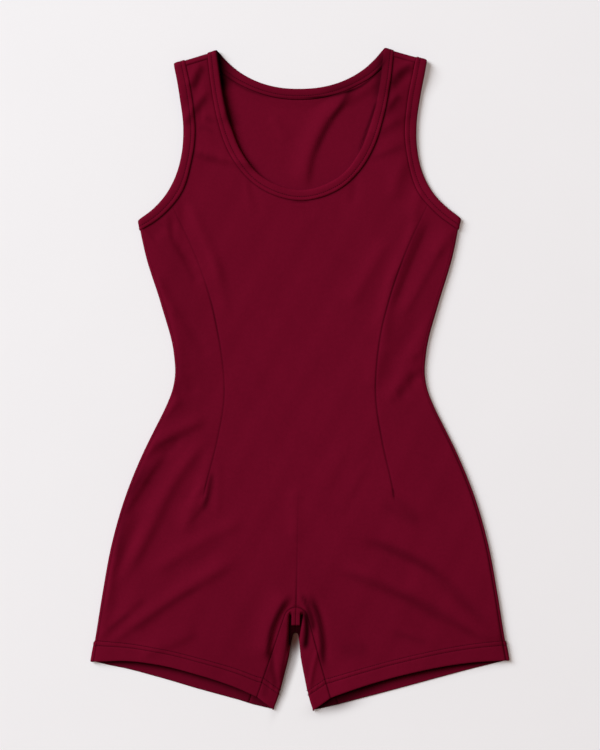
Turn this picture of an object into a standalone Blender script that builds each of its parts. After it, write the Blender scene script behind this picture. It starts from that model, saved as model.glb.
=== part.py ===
"""Short-legged tank bodysuit laid flat, front up.

Its cut is a front with two princess darts, a back, two inner-leg gussets, one band round the neck and one
round each armhole. The back is modelled as its flat part and the four edges that roll over to the front.
Every piece is an open sheet through its outer face, thickened inwards by Solidify.

Metres, +Z up, +Y to the shoulders and +X to the wearer's left. The origin is on the table, under the middle
of the outline. Tables and sizes are in millimetres. "Half" is a distance from the garment's middle line, so
that the two sides share one cut, and lay() then moves it a little, as the real one lies.
"""

import math

import bmesh
import bpy
import numpy as np

MM = 0.001
WELD = 0.00001

# Cloth
WALL = 1.2  # one layer of knit
HEM_WALL = 2.2  # two layers, where the hem is turned up
BAND_WALL = 2.6  # the band is folded over the panel's edge
BAND_PROUD = 0.5  # how far it stands over the panel
BAND_BEVEL = 0.7
SEAM_GAP = 0.3
CLEAR = 0.4  # least air between the front and the back
FLAT_START = 1.5  # flat strip of the back's rolled edges, before they roll

# Where the pieces end, in half and height
SHOULDER_TIP = (149.0, 372.2)  # the strap's fold at the armhole
SHOULDER_NECK = (98.0, 387.2)  # the strap's fold at the neck
SHOULDER_SEAM = 6.15  # from the fold, on the front
SIDE_SEAM = 3.6  # from the fold, on the front
UNDERARM = 174.3  # top of the side seam
BY_UNDERARM = (186.0, 178.0)  # the front's height here sets how round the side fold is
BY_SHOULDER = (124.0, 378.0)  # and here, the shoulder fold
HEM_CORNER = (246.5, -331.5)
HEM_BOW = 10.0  # how far the front hem curves up
HEM_BOW_REACH = 110.0
HEM_DEPTH = 22.5
HEM_STEP = 0.8  # the hem's second layer ends over this length

# The inner-leg arches: a round top over two straight flanks
FRONT_ARCH = {"radius": 14.0, "slope": 0.316, "top": -268.9, "foot": -373.3}
BACK_ARCH = {"radius": 16.0, "slope": 0.330, "top": -256.0, "foot": -381.2}
LEG_GAP = {"radius": 3.5, "slope": 0.235, "top": -299.0, "foot": -388.1}

SIDE_CROTCH = -224.0  # height of the crotch's row at the side fold
DART_CROTCH = -242.0  # and on the dart's line

DART_END = 6  # rows above the crotch at which the princess darts end
FRONT_SEAM_END = 6  # and the centre-front seam

# Outline of the side fold, from hem to underarm and on
SIDE_COLUMNS = ("height", "half")
SIDE = (
    (-331.5, 246.5),
    (-307.0, 241.3),
    (-251.0, 231.7),
    (-194.5, 220.9),
    (-138.0, 204.5),
    (-81.7, 181.5),
    (-40.0, 159.0),
    (3.0, 146.6),
    (31.0, 148.1),
    (87.5, 162.7),
    (144.0, 180.2),
    (187.6, 189.4),
    (400.0, 190.0),
)

# Edges in plan, each from the middle or the underarm up to the shoulder fold, as (half, height)
FRONT_NECK = (
    (0, 208.8), (22, 212.1), (46.6, 223.8), (70, 246.2), (85.9, 272.6), (96.5, 302.6), (105.4, 346.5),
    (109.9, 384),
)
FRONT_NECK_OPEN = (
    (0, 221.5), (25.6, 226.9), (48.8, 241.5), (68.8, 267.9), (80.9, 296.7), (91.2, 334.3), (98, 387.5),
)
BACK_NECK = (
    (0, 327.7), (25, 329.8), (47.5, 335.8), (68, 344.6), (87, 356), (99, 367), (109.9, 384),
)
BACK_NECK_OPEN = (
    (0, 340.2), (25, 342.0), (46.4, 347.2), (62.9, 354.3), (74.6, 361.3), (86.4, 371.9), (98, 387.5),
)
DART_TOP = (150.0, 203.6)
ARMHOLE = (
    (187, 174), (164.9, 189.2), DART_TOP, (141.4, 214.4), (127.3, 255.5), (123.1, 286.7), (125.5, 321.4),
    (135.6, 376.4),
)
ARMHOLE_OPEN = (
    (189.6, 187.4), (171.5, 201.4), (158.4, 215.6), (145.4, 239.6), (138.4, 268), (137.3, 299),
    (141.4, 330.8), (149, 372.5),
)
PRINCESS = (
    (135, -354.4), (122, -235), (111.5, -136), (96.8, -72.3), (89.3, -25.3), (93.2, 38.2), (104.9, 92.2),
    (124.6, 148.6), DART_TOP,
)

# Height of the front's outer face over the table
LIE_COLUMNS = ("height", "middle", "edge")
LIE = (
    (-389, 6.4, 6.2),
    (-270, 6.4, 6.4),
    (-150, 5.2, 6.8),
    (0, 4.8, 6.4),
    (120, 5.2, 6.8),
    (185, 6.6, 6.2),
    (260, 9.2, 8.2),
    (330, 9.6, 9.2),
    (400, 9.6, 9.4),
)
MOUTH_RISE = 5.0  # the front hem stands this much higher half way across a leg
MOUTH_REACH = 80.0

# The largest folds of the front, as laid: from and to in plan, half of their width, and depth
FOLD_COLUMNS = ("x1", "y1", "x2", "y2", "wide", "deep")
FOLDS = (
    (-152, -80, -206, -156, 10, 1.5),
    (-108, -74, -168, -174, 11, 1.2),
    (-76, -214, -222, -308, 13, 2.6),
    (-98, -182, -164, -224, 15, 1.4),
    (70, -236, 214, -310, 13, 2.4),
    (80, -188, 224, -298, 13, 1.8),
    (146, 8, 104, -30, 11, 1.0),
)

RIDGE_SHARE = 0.5  # the ridges beside a fold, as a share of its depth,
RIDGE_OFF = 1.9  # and how far off they lie, in half widths,
RIDGE_WIDE = 0.9  # and their own half width
FOLD_FADE = 0.25  # share of a fold's length over which each end fades

# How the middle of the garment lies off its middle line
LEAN_COLUMNS = ("height", "aside")
LEAN = ((-389, -8.0), (-269, -4.7), (-150, -2.0), (0, 0.0), (200, 0.8), (390, 1.2))
SHOULDER_TILT = 1.6  # the left shoulder lies this much higher than the middle, the right one lower
TILT_FROM = 200.0  # height at which the tilt starts
TILT_OVER = 150.0  # and the height it takes

# How many steps each stretch takes
FLANK_STEPS = 6
ARCH_STEPS = 3
BODY_STEPS = 22
UNDERARM_STEPS = 5
STRAP_STEPS = 12
BACK_NECK_STEPS = 8
FOLD_STEPS = 4
CENTRE_COLUMNS = 8
BACK_COLUMNS = 5
GUSSET_COLUMNS = 2
GUSSET_TURNS = 4
BEND_POWER = 6  # keeps the bend of the side panel's rows near the armhole

SMOOTH_BELOW = math.radians(50)
BEVEL_ABOVE = math.radians(60)

SIDES = {"left": 1, "right": -1}  # the wearer's

BURGUNDY = (0.118, 0.003, 0.014, 1.0)
BINDING_RED = (0.132, 0.004, 0.018, 1.0)


def smooth(at, xs, ys):
    """A smooth curve through (xs, ys), read at the given places: cubic, with slopes from the neighbours."""
    xs, ys, at = (np.asarray(a, float) for a in (xs, ys, at))
    slopes = np.gradient(ys, xs)
    i = np.clip(np.searchsorted(xs, at) - 1, 0, len(xs) - 2)
    step = xs[i + 1] - xs[i]
    t = np.clip((at - xs[i]) / step, 0, 1)
    from_left = (1 + 2 * t) * (1 - t) ** 2 * ys[i] + t * (1 - t) ** 2 * step * slopes[i]
    from_right = t * t * (3 - 2 * t) * ys[i + 1] - t * t * (1 - t) * step * slopes[i + 1]
    return from_left + from_right


def ease(share):
    share = np.clip(share, 0, 1)
    return share * share * (3 - 2 * share)


def read(table, columns, name, height):
    """The table's named column at any height."""
    heights = [row[columns.index("height")] for row in table]
    values = [row[columns.index(name)] for row in table]
    return smooth(height, heights, values)


def side_half(height):
    return read(SIDE, SIDE_COLUMNS, "half", height)


def inside_side(points):
    """How far points lie inside the side's fold line."""
    return side_half(points[:, 1]) - points[:, 0]


def under_shoulder(points):
    """How far points lie below the shoulder's fold line."""
    rise = (SHOULDER_NECK[1] - SHOULDER_TIP[1]) / (SHOULDER_TIP[0] - SHOULDER_NECK[0])
    return SHOULDER_TIP[1] + (SHOULDER_TIP[0] - points[:, 0]) * rise - points[:, 1]


def height_of(points):
    return points[:, 1]


class Edge:
    """A line in plan that gives points by their distance along it."""

    def __init__(self, points):
        self.points = np.array(points, float)
        steps = np.linalg.norm(np.diff(self.points, axis=0), axis=1)
        self.along = np.concatenate([[0], np.cumsum(steps)])

    @classmethod
    def through(cls, points, samples=600):
        """A smooth line through a few points. One that starts on the middle line crosses it level."""
        from_middle = points[0][0] == 0
        coarse = cls([(-points[1][0], points[1][1]), *points] if from_middle else points)
        fine = np.linspace(coarse.along[1] if from_middle else 0, coarse.along[-1], samples)
        return cls(np.stack([smooth(fine, coarse.along, coarse.points[:, k]) for k in (0, 1)], axis=1))

    def aside(self, distance):
        """The line moved to its left."""
        run = np.gradient(self.points, axis=0)
        run /= np.linalg.norm(run, axis=1)[:, None]
        moved = self.points + distance * np.stack([-run[:, 1], run[:, 0]], axis=1)
        if self.points[0, 0] == 0:
            moved[0, 0] = 0.0
        return Edge(moved)

    def at(self, lengths):
        return np.stack([np.interp(lengths, self.along, self.points[:, k]) for k in (0, 1)], axis=1)

    def where(self, distance, wanted):
        """The length along the line at which a distance that grows or falls along it reaches a value."""
        values = distance(self.points)
        order = np.argsort(values)
        return np.interp(wanted, values[order], self.along[order])

    def nearest(self, point):
        return self.along[np.argmin(np.linalg.norm(self.points - np.array(point), axis=1))]

    def even(self, start, end, steps):
        return self.at(np.linspace(start, end, steps + 1))


HALF_GAP = SEAM_GAP / 2
HEM_ROWS = (0.0, HEM_DEPTH, HEM_DEPTH + HEM_STEP)
CROTCH_ROW = FLANK_STEPS + ARCH_STEPS
UNDERARM_ROW = CROTCH_ROW + BODY_STEPS


def arch(radius, slope, top, foot, moved=0.0):
    """Half an inner-leg arch, from its foot up the straight flank and round to its top, as (half, height).

    It is moved outwards by a distance, for the seam's gap.
    """
    lean = math.atan(slope)
    centre = top - radius
    radius += moved
    flank_top = np.array([radius * math.cos(lean), centre + radius * math.sin(lean)])
    flank_foot = np.array([flank_top[0] + slope * (flank_top[1] - foot), foot])
    fixed = np.array(HEM_ROWS) / np.linalg.norm(flank_top - flank_foot)
    rest = np.linspace(fixed[-1], 1, FLANK_STEPS - len(fixed) + 2)[1:]
    shares = np.concatenate([fixed, rest])
    flank = flank_foot + shares[:, None] * (flank_top - flank_foot)
    angles = np.linspace(lean, math.pi / 2, ARCH_STEPS + 1)[1:]
    round_top = np.stack([radius * np.cos(angles), centre + radius * np.sin(angles)], axis=1)
    round_top[-1, 0] = 0.0
    return np.concatenate([flank, round_top])


FRONT_FOOT = arch(**FRONT_ARCH)[0]
INSIDE = {"moved": -HALF_GAP}

NECK, NECK_OPEN = Edge.through(FRONT_NECK), Edge.through(FRONT_NECK_OPEN)
NAPE, NAPE_OPEN = Edge.through(BACK_NECK), Edge.through(BACK_NECK_OPEN)
ARM, ARM_OPEN = Edge.through(ARMHOLE), Edge.through(ARMHOLE_OPEN)
DART = Edge.through(PRINCESS)


def mirrored(points, side):
    return points * np.array([side, 1.0])


def lay(points):
    """Plan points of the even cut as the garment lies: its middle a little aside, its shoulders tilted."""
    x, y = points[..., 0], points[..., 1]
    middle = 1 - np.clip(np.abs(x) / side_half(y), 0, 1) ** 2
    shifted = x + read(LEAN, LEAN_COLUMNS, "aside", y) * middle
    tilt = SHOULDER_TILT * np.clip(x / SHOULDER_TIP[0], -1, 1) * ease((y - TILT_FROM) / TILT_OVER)
    return np.stack([shifted, y + tilt], axis=-1)


def fold_depth(x, y):
    """Sum of the front's large folds: soft troughs with lower ridges beside them, fading at their ends."""
    total = np.zeros_like(x)
    for row in FOLDS:
        fold = dict(zip(FOLD_COLUMNS, row))
        run = np.array([fold["x2"] - fold["x1"], fold["y2"] - fold["y1"]])
        length = np.linalg.norm(run)
        ux, uy = run / length
        from_x, from_y = x - fold["x1"], y - fold["y1"]
        along = (from_x * ux + from_y * uy) / length
        off = np.abs(from_y * ux - from_x * uy) / fold["wide"]
        ends = ease(along / FOLD_FADE) * ease((1 - along) / FOLD_FADE)
        ridges = RIDGE_SHARE * np.exp(-(((off - RIDGE_OFF) / RIDGE_WIDE) ** 2))
        total += fold["deep"] * ends * (ridges - np.exp(-(off**2)))
    return total


def front_height(points):
    """Height of the front's outer face at plan points of the even cut."""
    half, y = np.abs(points[..., 0]), points[..., 1]
    out = np.clip(half / side_half(y), 0, 1)
    middle = read(LIE, LIE_COLUMNS, "middle", y)
    edge = read(LIE, LIE_COLUMNS, "edge", y)
    across = np.clip((half - FRONT_FOOT[0]) / (side_half(y) - FRONT_FOOT[0]), 0, 1)
    above_hem = np.maximum(y - FRONT_FOOT[1], 0)
    mouth = MOUTH_RISE * np.sin(math.pi * across) * np.exp(-((above_hem / MOUTH_REACH) ** 2))
    laid = lay(points)
    height = middle + (edge - middle) * out**2 + mouth + fold_depth(laid[..., 0], laid[..., 1])
    return np.maximum(height, 2 * WALL + CLEAR)


def hem_bow(points):
    """The front hem's upward curve, fading out up the leg."""
    half, y = points[..., 0], points[..., 1]
    across = np.clip((half - FRONT_FOOT[0]) / (HEM_CORNER[0] - SIDE_SEAM - SEAM_GAP - FRONT_FOOT[0]), 0, 1)
    straight = FRONT_FOOT[1] + across * (HEM_CORNER[1] - FRONT_FOOT[1])
    fade = np.clip(1 - (y - straight) / HEM_BOW_REACH, 0, 1) ** 2
    return np.stack([half, y + HEM_BOW * 4 * across * (1 - across) * fade], axis=-1)


def outer_face(points, side, turn, proud=0.0):
    """Points in space, in metres, on the garment's outer face.

    turn is 0 on the front, pi on the back, and between them round a fold.
    """
    points = mirrored(points, side)
    height = (front_height(points) + proud) * (1 + np.cos(turn)) / 2
    laid = lay(points)
    return np.concatenate([laid, (height * np.ones(laid.shape[:-1]))[..., None]], axis=-1) * MM


SIDE_RADIUS = float(front_height(np.array(BY_UNDERARM))) / 2
STRAP_RADIUS = float(front_height(np.array(BY_SHOULDER))) / 2


def roll(radius):
    """(distance inside the fold line, turn) of the steps round a fold, from the back to the front."""
    turns = np.linspace(math.pi, 0, FOLD_STEPS + 1)[1:-1]
    return [(radius * (1 - math.sin(turn)), turn) for turn in turns]


def rolled_edge(radius, seam):
    """The same across one of the back's rolled edges, from the flat back to the seam on the front."""
    return [(radius + FLAT_START, math.pi), (radius, math.pi), *roll(radius), (radius, 0.0), (seam, 0.0)]


def rows_up(edge, crotch, end):
    """Points on a long edge at every row: the hem's, even ones to the crotch, even ones to the underarm."""
    crotch_at = edge.where(height_of, crotch)
    low = np.linspace(HEM_ROWS[-1], crotch_at, CROTCH_ROW - len(HEM_ROWS) + 2)[1:]
    high = np.linspace(crotch_at, end, BODY_STEPS + 1)[1:]
    return edge.at(np.concatenate([HEM_ROWS, low, high]))


def side_rows(inset):
    """Points inside the side fold at every row, up to the armhole's edge."""
    heights = np.linspace(HEM_CORNER[1], UNDERARM, 300)
    edge = Edge(np.stack([side_half(heights), heights], axis=1))
    rows = rows_up(edge, SIDE_CROTCH, edge.along[-1])
    armhole = ARM.aside(SEAM_GAP)
    top = armhole.at([armhole.where(inside_side, inset)])[0]
    rows[:, 0] -= inset
    rows[:, 1] += (top[1] - rows[-1, 1]) * np.linspace(0, 1, len(rows)) ** 2
    rows[-1] = top
    return rows


def spread(start, end, columns):
    """Rows of points from each start to its end, as an array of rows by columns by 2."""
    across = np.linspace(0, 1, columns + 1)[None, :, None]
    return start[:, None, :] + across * (end - start)[:, None, :]


def arm_rows(edge, underarm, shoulder):
    """Points up an armhole's edge, from inside the side fold to below the shoulder fold."""
    dart = edge.nearest(DART_TOP)
    low = edge.even(edge.where(inside_side, underarm), dart, UNDERARM_STEPS)
    return np.concatenate([low, edge.even(dart, edge.where(under_shoulder, shoulder), STRAP_STEPS)[1:]])


def front_grids():
    """Plan grids of half of the front: centre to dart and strap, and dart to side."""
    neck = NECK.aside(-HALF_GAP)
    neck = neck.even(0, neck.where(under_shoulder, SHOULDER_SEAM + HALF_GAP), STRAP_STEPS)
    arches = arch(**FRONT_ARCH, moved=HALF_GAP)
    heights = np.linspace(arches[-1, 1], neck[0, 1], BODY_STEPS + 1)[1:-1]
    centre = np.stack([np.zeros_like(heights), heights], axis=1)
    inner = np.concatenate([arches, centre, neck])
    inner[CROTCH_ROW : CROTCH_ROW + FRONT_SEAM_END, 0] = HALF_GAP

    arm = arm_rows(ARM.aside(HALF_GAP), SIDE_SEAM + SEAM_GAP, SHOULDER_SEAM + HALF_GAP)
    low_arm, strap = arm[: UNDERARM_STEPS + 1], arm[UNDERARM_STEPS:]
    dart = rows_up(DART, DART_CROTCH, DART.along[-1])
    dart[-1] = strap[0]
    opened = np.zeros_like(dart)
    opened[CROTCH_ROW + DART_END + 1 :, 0] = HALF_GAP
    centre_grid = spread(inner, np.concatenate([dart - opened, strap[1:]]), CENTRE_COLUMNS)

    side_grid = spread(dart + opened, side_rows(SIDE_SEAM + SEAM_GAP), UNDERARM_STEPS)
    bend = low_arm[::-1] - side_grid[-1]
    bend[0] = 0.0
    side_grid += bend * (np.arange(len(dart)) / UNDERARM_ROW)[:, None, None] ** BEND_POWER
    return hem_bow(centre_grid), hem_bow(side_grid)


def back_grid():
    """Plan grid of half of the part of the back that lies flat."""
    nape = NAPE.aside(-HALF_GAP)
    side_edge, top_edge = (radius + FLAT_START + SEAM_GAP for radius in (SIDE_RADIUS, STRAP_RADIUS))
    nape = nape.even(0, nape.where(under_shoulder, top_edge), BACK_NECK_STEPS)
    arches = arch(**BACK_ARCH, moved=HALF_GAP)
    arm = arm_rows(ARM.aside(HALF_GAP), side_edge, top_edge)
    outer = np.concatenate([side_rows(side_edge), arm[1:]])
    heights = np.linspace(arches[-1, 1], nape[0, 1], len(outer) - len(arches) - BACK_NECK_STEPS + 1)[1:-1]
    centre = np.stack([np.zeros_like(heights), heights], axis=1)
    return spread(np.concatenate([arches, centre, nape]), outer, BACK_COLUMNS)


def over_side(side):
    """The back's rolled side, from the flat back round the side fold to the side seam."""
    steps = rolled_edge(SIDE_RADIUS, SIDE_SEAM - HALF_GAP)
    return np.stack([outer_face(side_rows(inset), side, turn) for inset, turn in steps], axis=1)


def over_shoulder(side):
    """The back's rolled top, from the flat back over the shoulder fold to the shoulder seam."""
    arm = ARM.aside(HALF_GAP)
    rows = []
    for inset, turn in rolled_edge(STRAP_RADIUS, SHOULDER_SEAM - HALF_GAP):
        neck = (NAPE if turn > math.pi / 2 else NECK).aside(-HALF_GAP)
        ends = [edge.at([edge.where(under_shoulder, inset)]) for edge in (neck, arm)]
        rows.append(outer_face(spread(*ends, BACK_COLUMNS)[0], side, turn))
    return np.stack(rows)


def band_rows(edges, steps):
    """Pairs of points on a band's panel edge and open edge, given lengths along each by a function."""
    return np.stack([edge.even(*span, steps) for edge, span in edges], axis=1)


def neck_band(side):
    """Half of the neck band, from the front's middle over the shoulder to the back's middle."""
    front_edges = (NECK.aside(HALF_GAP), NECK_OPEN)
    back_edges = (NAPE.aside(HALF_GAP), NAPE_OPEN)
    front = [(edge, (0, edge.where(under_shoulder, SHOULDER_SEAM))) for edge in front_edges]
    back = [(edge, (edge.where(under_shoulder, STRAP_RADIUS), 0)) for edge in back_edges]
    rows = [outer_face(band_rows(front, STRAP_STEPS), side, 0.0, BAND_PROUD)]
    for inset, turn in roll(STRAP_RADIUS)[::-1]:
        edges = back_edges if turn > math.pi / 2 else front_edges
        pair = np.concatenate([edge.at([edge.where(under_shoulder, inset)]) for edge in edges])
        rows.append(outer_face(pair[None], side, turn, BAND_PROUD))
    rows.append(outer_face(band_rows(back, BACK_NECK_STEPS), side, math.pi))
    return np.concatenate(rows)


def arm_band(side):
    """A whole armhole band: down the front, over the side fold, up the back and over the shoulder."""
    edges = (ARM.aside(-HALF_GAP), ARM_OPEN)

    def stretch(underarm, shoulder):
        ends = [(edge.where(inside_side, underarm), edge.where(under_shoulder, shoulder)) for edge in edges]
        darts = [edge.nearest(DART_TOP) for edge in edges]
        low = band_rows([(e, (end[0], d)) for e, end, d in zip(edges, ends, darts)], UNDERARM_STEPS)
        high = band_rows([(e, (d, end[1])) for e, end, d in zip(edges, ends, darts)], STRAP_STEPS)
        return np.concatenate([low, high[1:]])

    def fold(distance, radius):
        for inset, turn in roll(radius)[::-1]:
            pair = np.concatenate([edge.at([edge.where(distance, inset)]) for edge in edges])
            yield outer_face(pair[None], side, turn, BAND_PROUD)

    down = outer_face(stretch(SIDE_SEAM, SHOULDER_SEAM)[::-1], side, 0.0, BAND_PROUD)
    up = outer_face(stretch(SIDE_RADIUS, STRAP_RADIUS), side, math.pi)
    under = list(fold(inside_side, SIDE_RADIUS))
    over = list(fold(under_shoulder, STRAP_RADIUS))[::-1]
    return np.concatenate([down, *under, up, *over])


def gusset(side):
    """An inner-leg piece, from the front inseam over the leg's inner fold to the back inseam."""
    front, back, fold = (arch(**line) for line in (FRONT_ARCH | INSIDE, BACK_ARCH | INSIDE, LEG_GAP))
    for line in (front, back, fold):
        line[-1, 0] = HALF_GAP
    radius = front_height(fold) / 2

    def rolled(seam, turn):
        """The column part way round the fold, on the line from it to a seam."""
        reach = seam - fold
        inwards = reach / np.linalg.norm(reach, axis=1)[:, None]
        return fold + inwards * (radius * (1 - math.sin(turn)))[:, None]

    def flat(seam, turn):
        """The columns from a seam to where the fold begins."""
        run = spread(seam, rolled(seam, turn), GUSSET_COLUMNS)[:, :-1].swapaxes(0, 1)
        return [(points, turn) for points in run]

    turns = np.linspace(0, math.pi, GUSSET_TURNS + 1)
    round_fold = [(rolled(back if turn > math.pi / 2 else front, turn), turn) for turn in turns]
    columns = flat(front, 0.0) + round_fold + flat(back, math.pi)[::-1]
    return np.stack([outer_face(points, side, turn) for points, turn in columns], axis=1)


def material(name, colour, roughness):
    made = bpy.data.materials.new(name)
    made.use_nodes = True
    made.diffuse_color = colour
    shader = made.node_tree.nodes["Principled BSDF"]
    shader.inputs["Base Color"].default_value = colour
    shader.inputs["Roughness"].default_value = roughness
    shader.inputs["Metallic"].default_value = 0.0
    return made


def sheet(name, grids, look, closed=False):
    """An open sheet mesh from grids of points. Each grid is (points, flipped, hemmed)."""
    mesh = bpy.data.meshes.new(name)
    piece = bpy.data.objects.new(name, mesh)
    bpy.data.collections["bodysuit"].objects.link(piece)
    bm = bmesh.new()
    hem = bm.verts.layers.deform.verify()
    hem_group = piece.vertex_groups.new(name="hem").index
    for points, flipped, hemmed in grids:
        verts = [[bm.verts.new(point) for point in row] for row in points]
        for vert in sum(verts[: HEM_ROWS.index(HEM_DEPTH) + 1], []) if hemmed else []:
            vert[hem][hem_group] = 1.0
        ring = verts + verts[:1] if closed else verts
        for low, high in zip(ring, ring[1:]):
            for k in range(len(low) - 1):
                # Each quad is split from its first corner, which runs the split along the folds.
                corners = (low[k + 1], low[k], high[k], high[k + 1])
                bm.faces.new(corners[:1] + corners[:0:-1] if flipped else corners)
    bmesh.ops.remove_doubles(bm, verts=bm.verts, dist=WELD)
    bm.to_mesh(mesh)
    bm.free()
    mesh.materials.append(look)
    mesh.shade_smooth()
    mesh.set_sharp_from_angle(angle=SMOOTH_BELOW)
    return piece


def thicken(piece, thickness, thin_share=1.0):
    """Solidify inwards from the outer face. Away from the hem the wall is a share of the thickness."""
    wall = piece.modifiers.new("wall", "SOLIDIFY")
    wall.thickness = thickness * MM
    wall.offset = -1.0
    wall.use_even_offset = True
    if thin_share < 1.0:
        wall.vertex_group = "hem"
        wall.thickness_vertex_group = thin_share


def round_edges(piece):
    bevel = piece.modifiers.new("round", "BEVEL")
    bevel.width = BAND_BEVEL * MM
    bevel.segments = 1
    bevel.limit_method = "ANGLE"
    bevel.angle_limit = BEVEL_ABOVE


def make_front(cloth):
    grids = []
    for side in SIDES.values():
        for plan in front_grids():
            grids.append((outer_face(plan, side, 0.0), side > 0, True))
    thicken(sheet("front", grids, cloth), HEM_WALL, WALL / HEM_WALL)


def make_back(cloth):
    """The flat back, and as solids of their own its sides and shoulders, rolled over to the front."""
    flat = [(outer_face(back_grid(), side, math.pi), side < 0, True) for side in SIDES.values()]
    thicken(sheet("back", flat, cloth), HEM_WALL, WALL / HEM_WALL)
    for name, side in SIDES.items():
        rolled_side = sheet("back_side_" + name, [(over_side(side), side < 0, True)], cloth)
        thicken(rolled_side, HEM_WALL, WALL / HEM_WALL)
        thicken(sheet("back_shoulder_" + name, [(over_shoulder(side), side < 0, False)], cloth), WALL)


def make_gussets(cloth):
    for name, side in SIDES.items():
        piece = sheet("gusset_" + name, [(gusset(side), side < 0, True)], cloth)
        thicken(piece, HEM_WALL, WALL / HEM_WALL)


def make_bands(knit):
    left, right = (neck_band(side) for side in SIDES.values())
    round_neck = np.concatenate([left[:-1], right[:0:-1]])
    pieces = [sheet("neck_binding", [(round_neck, False, False)], knit, closed=True)]
    for name, side in SIDES.items():
        grids = [(arm_band(side), side < 0, False)]
        pieces.append(sheet("armhole_binding_" + name, grids, knit, closed=True))
    for piece in pieces:
        thicken(piece, BAND_WALL)
        round_edges(piece)


def main():
    for old in list(bpy.data.objects):
        bpy.data.objects.remove(old)
    garment = bpy.data.collections.new("bodysuit")
    bpy.context.scene.collection.children.link(garment)
    cloth = material("burgundy_knit", BURGUNDY, 0.85)
    knit = material("burgundy_binding", BINDING_RED, 0.8)
    make_front(cloth)
    make_back(cloth)
    make_gussets(cloth)
    make_bands(knit)


main()
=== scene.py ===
"""Laid-flat bodysuit: the cloth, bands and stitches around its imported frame, with floor, light and camera.

The pieces follow the frame's own cut. Tables give the garment's edges, Edge lines are read from them, grids
of plan points are spread between the lines, and place() lays each grid on the garment's outer face. Creases
are laid along lines, each with its own height and widths. Most of them were fitted by another program.

Metres, +Z up, +Y to the shoulders and +X to the wearer's left. Tables and lengths in tables are in
millimetres. "Half" is a distance from the garment's middle line, so that both sides share one cut, and lay()
then moves it a little, as the garment lies.
"""

import math
from dataclasses import dataclass

import bmesh
import bpy
import numpy as np
from bpy.props import FloatProperty, FloatVectorProperty, PointerProperty
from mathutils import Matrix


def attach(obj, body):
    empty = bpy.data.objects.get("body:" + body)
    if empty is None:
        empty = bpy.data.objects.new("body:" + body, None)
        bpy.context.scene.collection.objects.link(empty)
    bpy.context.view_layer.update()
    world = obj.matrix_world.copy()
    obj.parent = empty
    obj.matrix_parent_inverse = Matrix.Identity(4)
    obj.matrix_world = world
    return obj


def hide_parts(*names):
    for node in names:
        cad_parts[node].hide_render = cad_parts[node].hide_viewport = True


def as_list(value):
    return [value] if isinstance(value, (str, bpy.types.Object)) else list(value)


bl_info = {
    "name": "Laid-Flat Bodysuit",
    "version": (1, 0, 0),
    "blender": (4, 5, 0),
    "location": "View3D > Sidebar > Bodysuit",
    "description": "Makes the cloth, bands, stitches and studio of a bodysuit laid flat",
    "category": "Object",
}

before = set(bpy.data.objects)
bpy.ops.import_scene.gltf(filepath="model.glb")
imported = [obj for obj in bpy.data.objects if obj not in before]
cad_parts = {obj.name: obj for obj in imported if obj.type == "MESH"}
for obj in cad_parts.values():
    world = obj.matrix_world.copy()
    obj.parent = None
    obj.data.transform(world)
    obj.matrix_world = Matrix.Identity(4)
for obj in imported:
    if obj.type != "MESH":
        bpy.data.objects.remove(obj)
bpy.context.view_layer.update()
bpy.ops.object.select_all(action="DESELECT")

MM = 0.001
TINY = 1e-9
SIDES = {"left": 1, "right": -1}  # the wearer's

# ---------------------------------------------------------------------------------------------- the cut

SHOULDER_TIP = (149.0, 372.2)  # the strap's fold at the armhole
SHOULDER_NECK = (98.0, 387.2)  # the strap's fold at the neck
SHOULDER_SEAM = 7.6  # from the fold, on the front
SIDE_SEAM = 3.6  # from the side's fold, on the front
UNDERARM = 174.3  # height at which the sides end and the armholes' seams start
HEM_CORNER = (246.5, -331.5)
HEM_BOW = {"left": 10.0, "right": 11.8}  # how far the front hems curve up
HEM_BOW_REACH = 110.0  # and how far up the leg that fades
# Heights at which the row of points that starts at the crotch meets the side and the princess seam
SIDE_CROTCH = -224.0
DART_CROTCH = -242.0
BAND_WIDE = 12.6
FOLD_RADIUS = {"side": 3.1, "strap": 4.65}

# The inner-leg seams and the gap between the legs: round tops with straight flanks down to the hems
FRONT_ARCH = {"radius": 14.0, "slope": 0.316, "top": -268.9, "foot": -373.3}
BACK_ARCH = {"radius": 16.0, "slope": 0.330, "top": -256.0, "foot": -381.2}
LEG_GAP = {"radius": 3.5, "slope": 0.235, "top": -299.0, "foot": -388.1}

# The sides' fold line
SIDE_COLUMNS = ("height", "half")
SIDE = (
    (-331.5, 246), (-307, 241.4), (-251, 232.3), (-194.5, 221.7), (-138, 205.4), (-84, 183.2), (-56, 169.4),
    (-36, 159.4), (-12, 150), (3, 147.4), (31, 148.9), (87.5, 163.4), (144, 180.7), (187.6, 189.4),
    (400, 190),
)

# Edges in plan, from the middle or the underarm up to the shoulder fold, as (half, height)
FRONT_NECK = (
    (0, 208.8), (22, 212.1), (47.2, 223.2), (71, 245.5), (86.9, 272.2), (96.8, 302.6), (105.4, 346.5),
    (109.9, 384),
)
FRONT_NECK_OPEN = (
    (0, 221.5), (25.6, 226.9), (49.6, 240.7), (69.9, 267.3), (81.6, 296.5), (91.2, 334.3), (98, 387.5),
)
BACK_NECK = (
    (0, 327.7), (25, 329.8), (47.5, 335.8), (68, 344.6), (87, 356), (99, 367), (109.9, 384),
)
BACK_NECK_OPEN = (
    (0, 341.0), (25, 342.9), (46.4, 348.5), (62.9, 356.1), (74.6, 363.7), (86.4, 374.2), (98, 387.5),
)
DART_TOP = (150.0, 203.6)
ARMHOLE = (
    (187, 174), (164.9, 189.2), DART_TOP, (141.4, 214.4), (127.3, 255.5), (123.1, 286.7), (125.5, 321.4),
    (135.6, 376.4),
)
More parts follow.
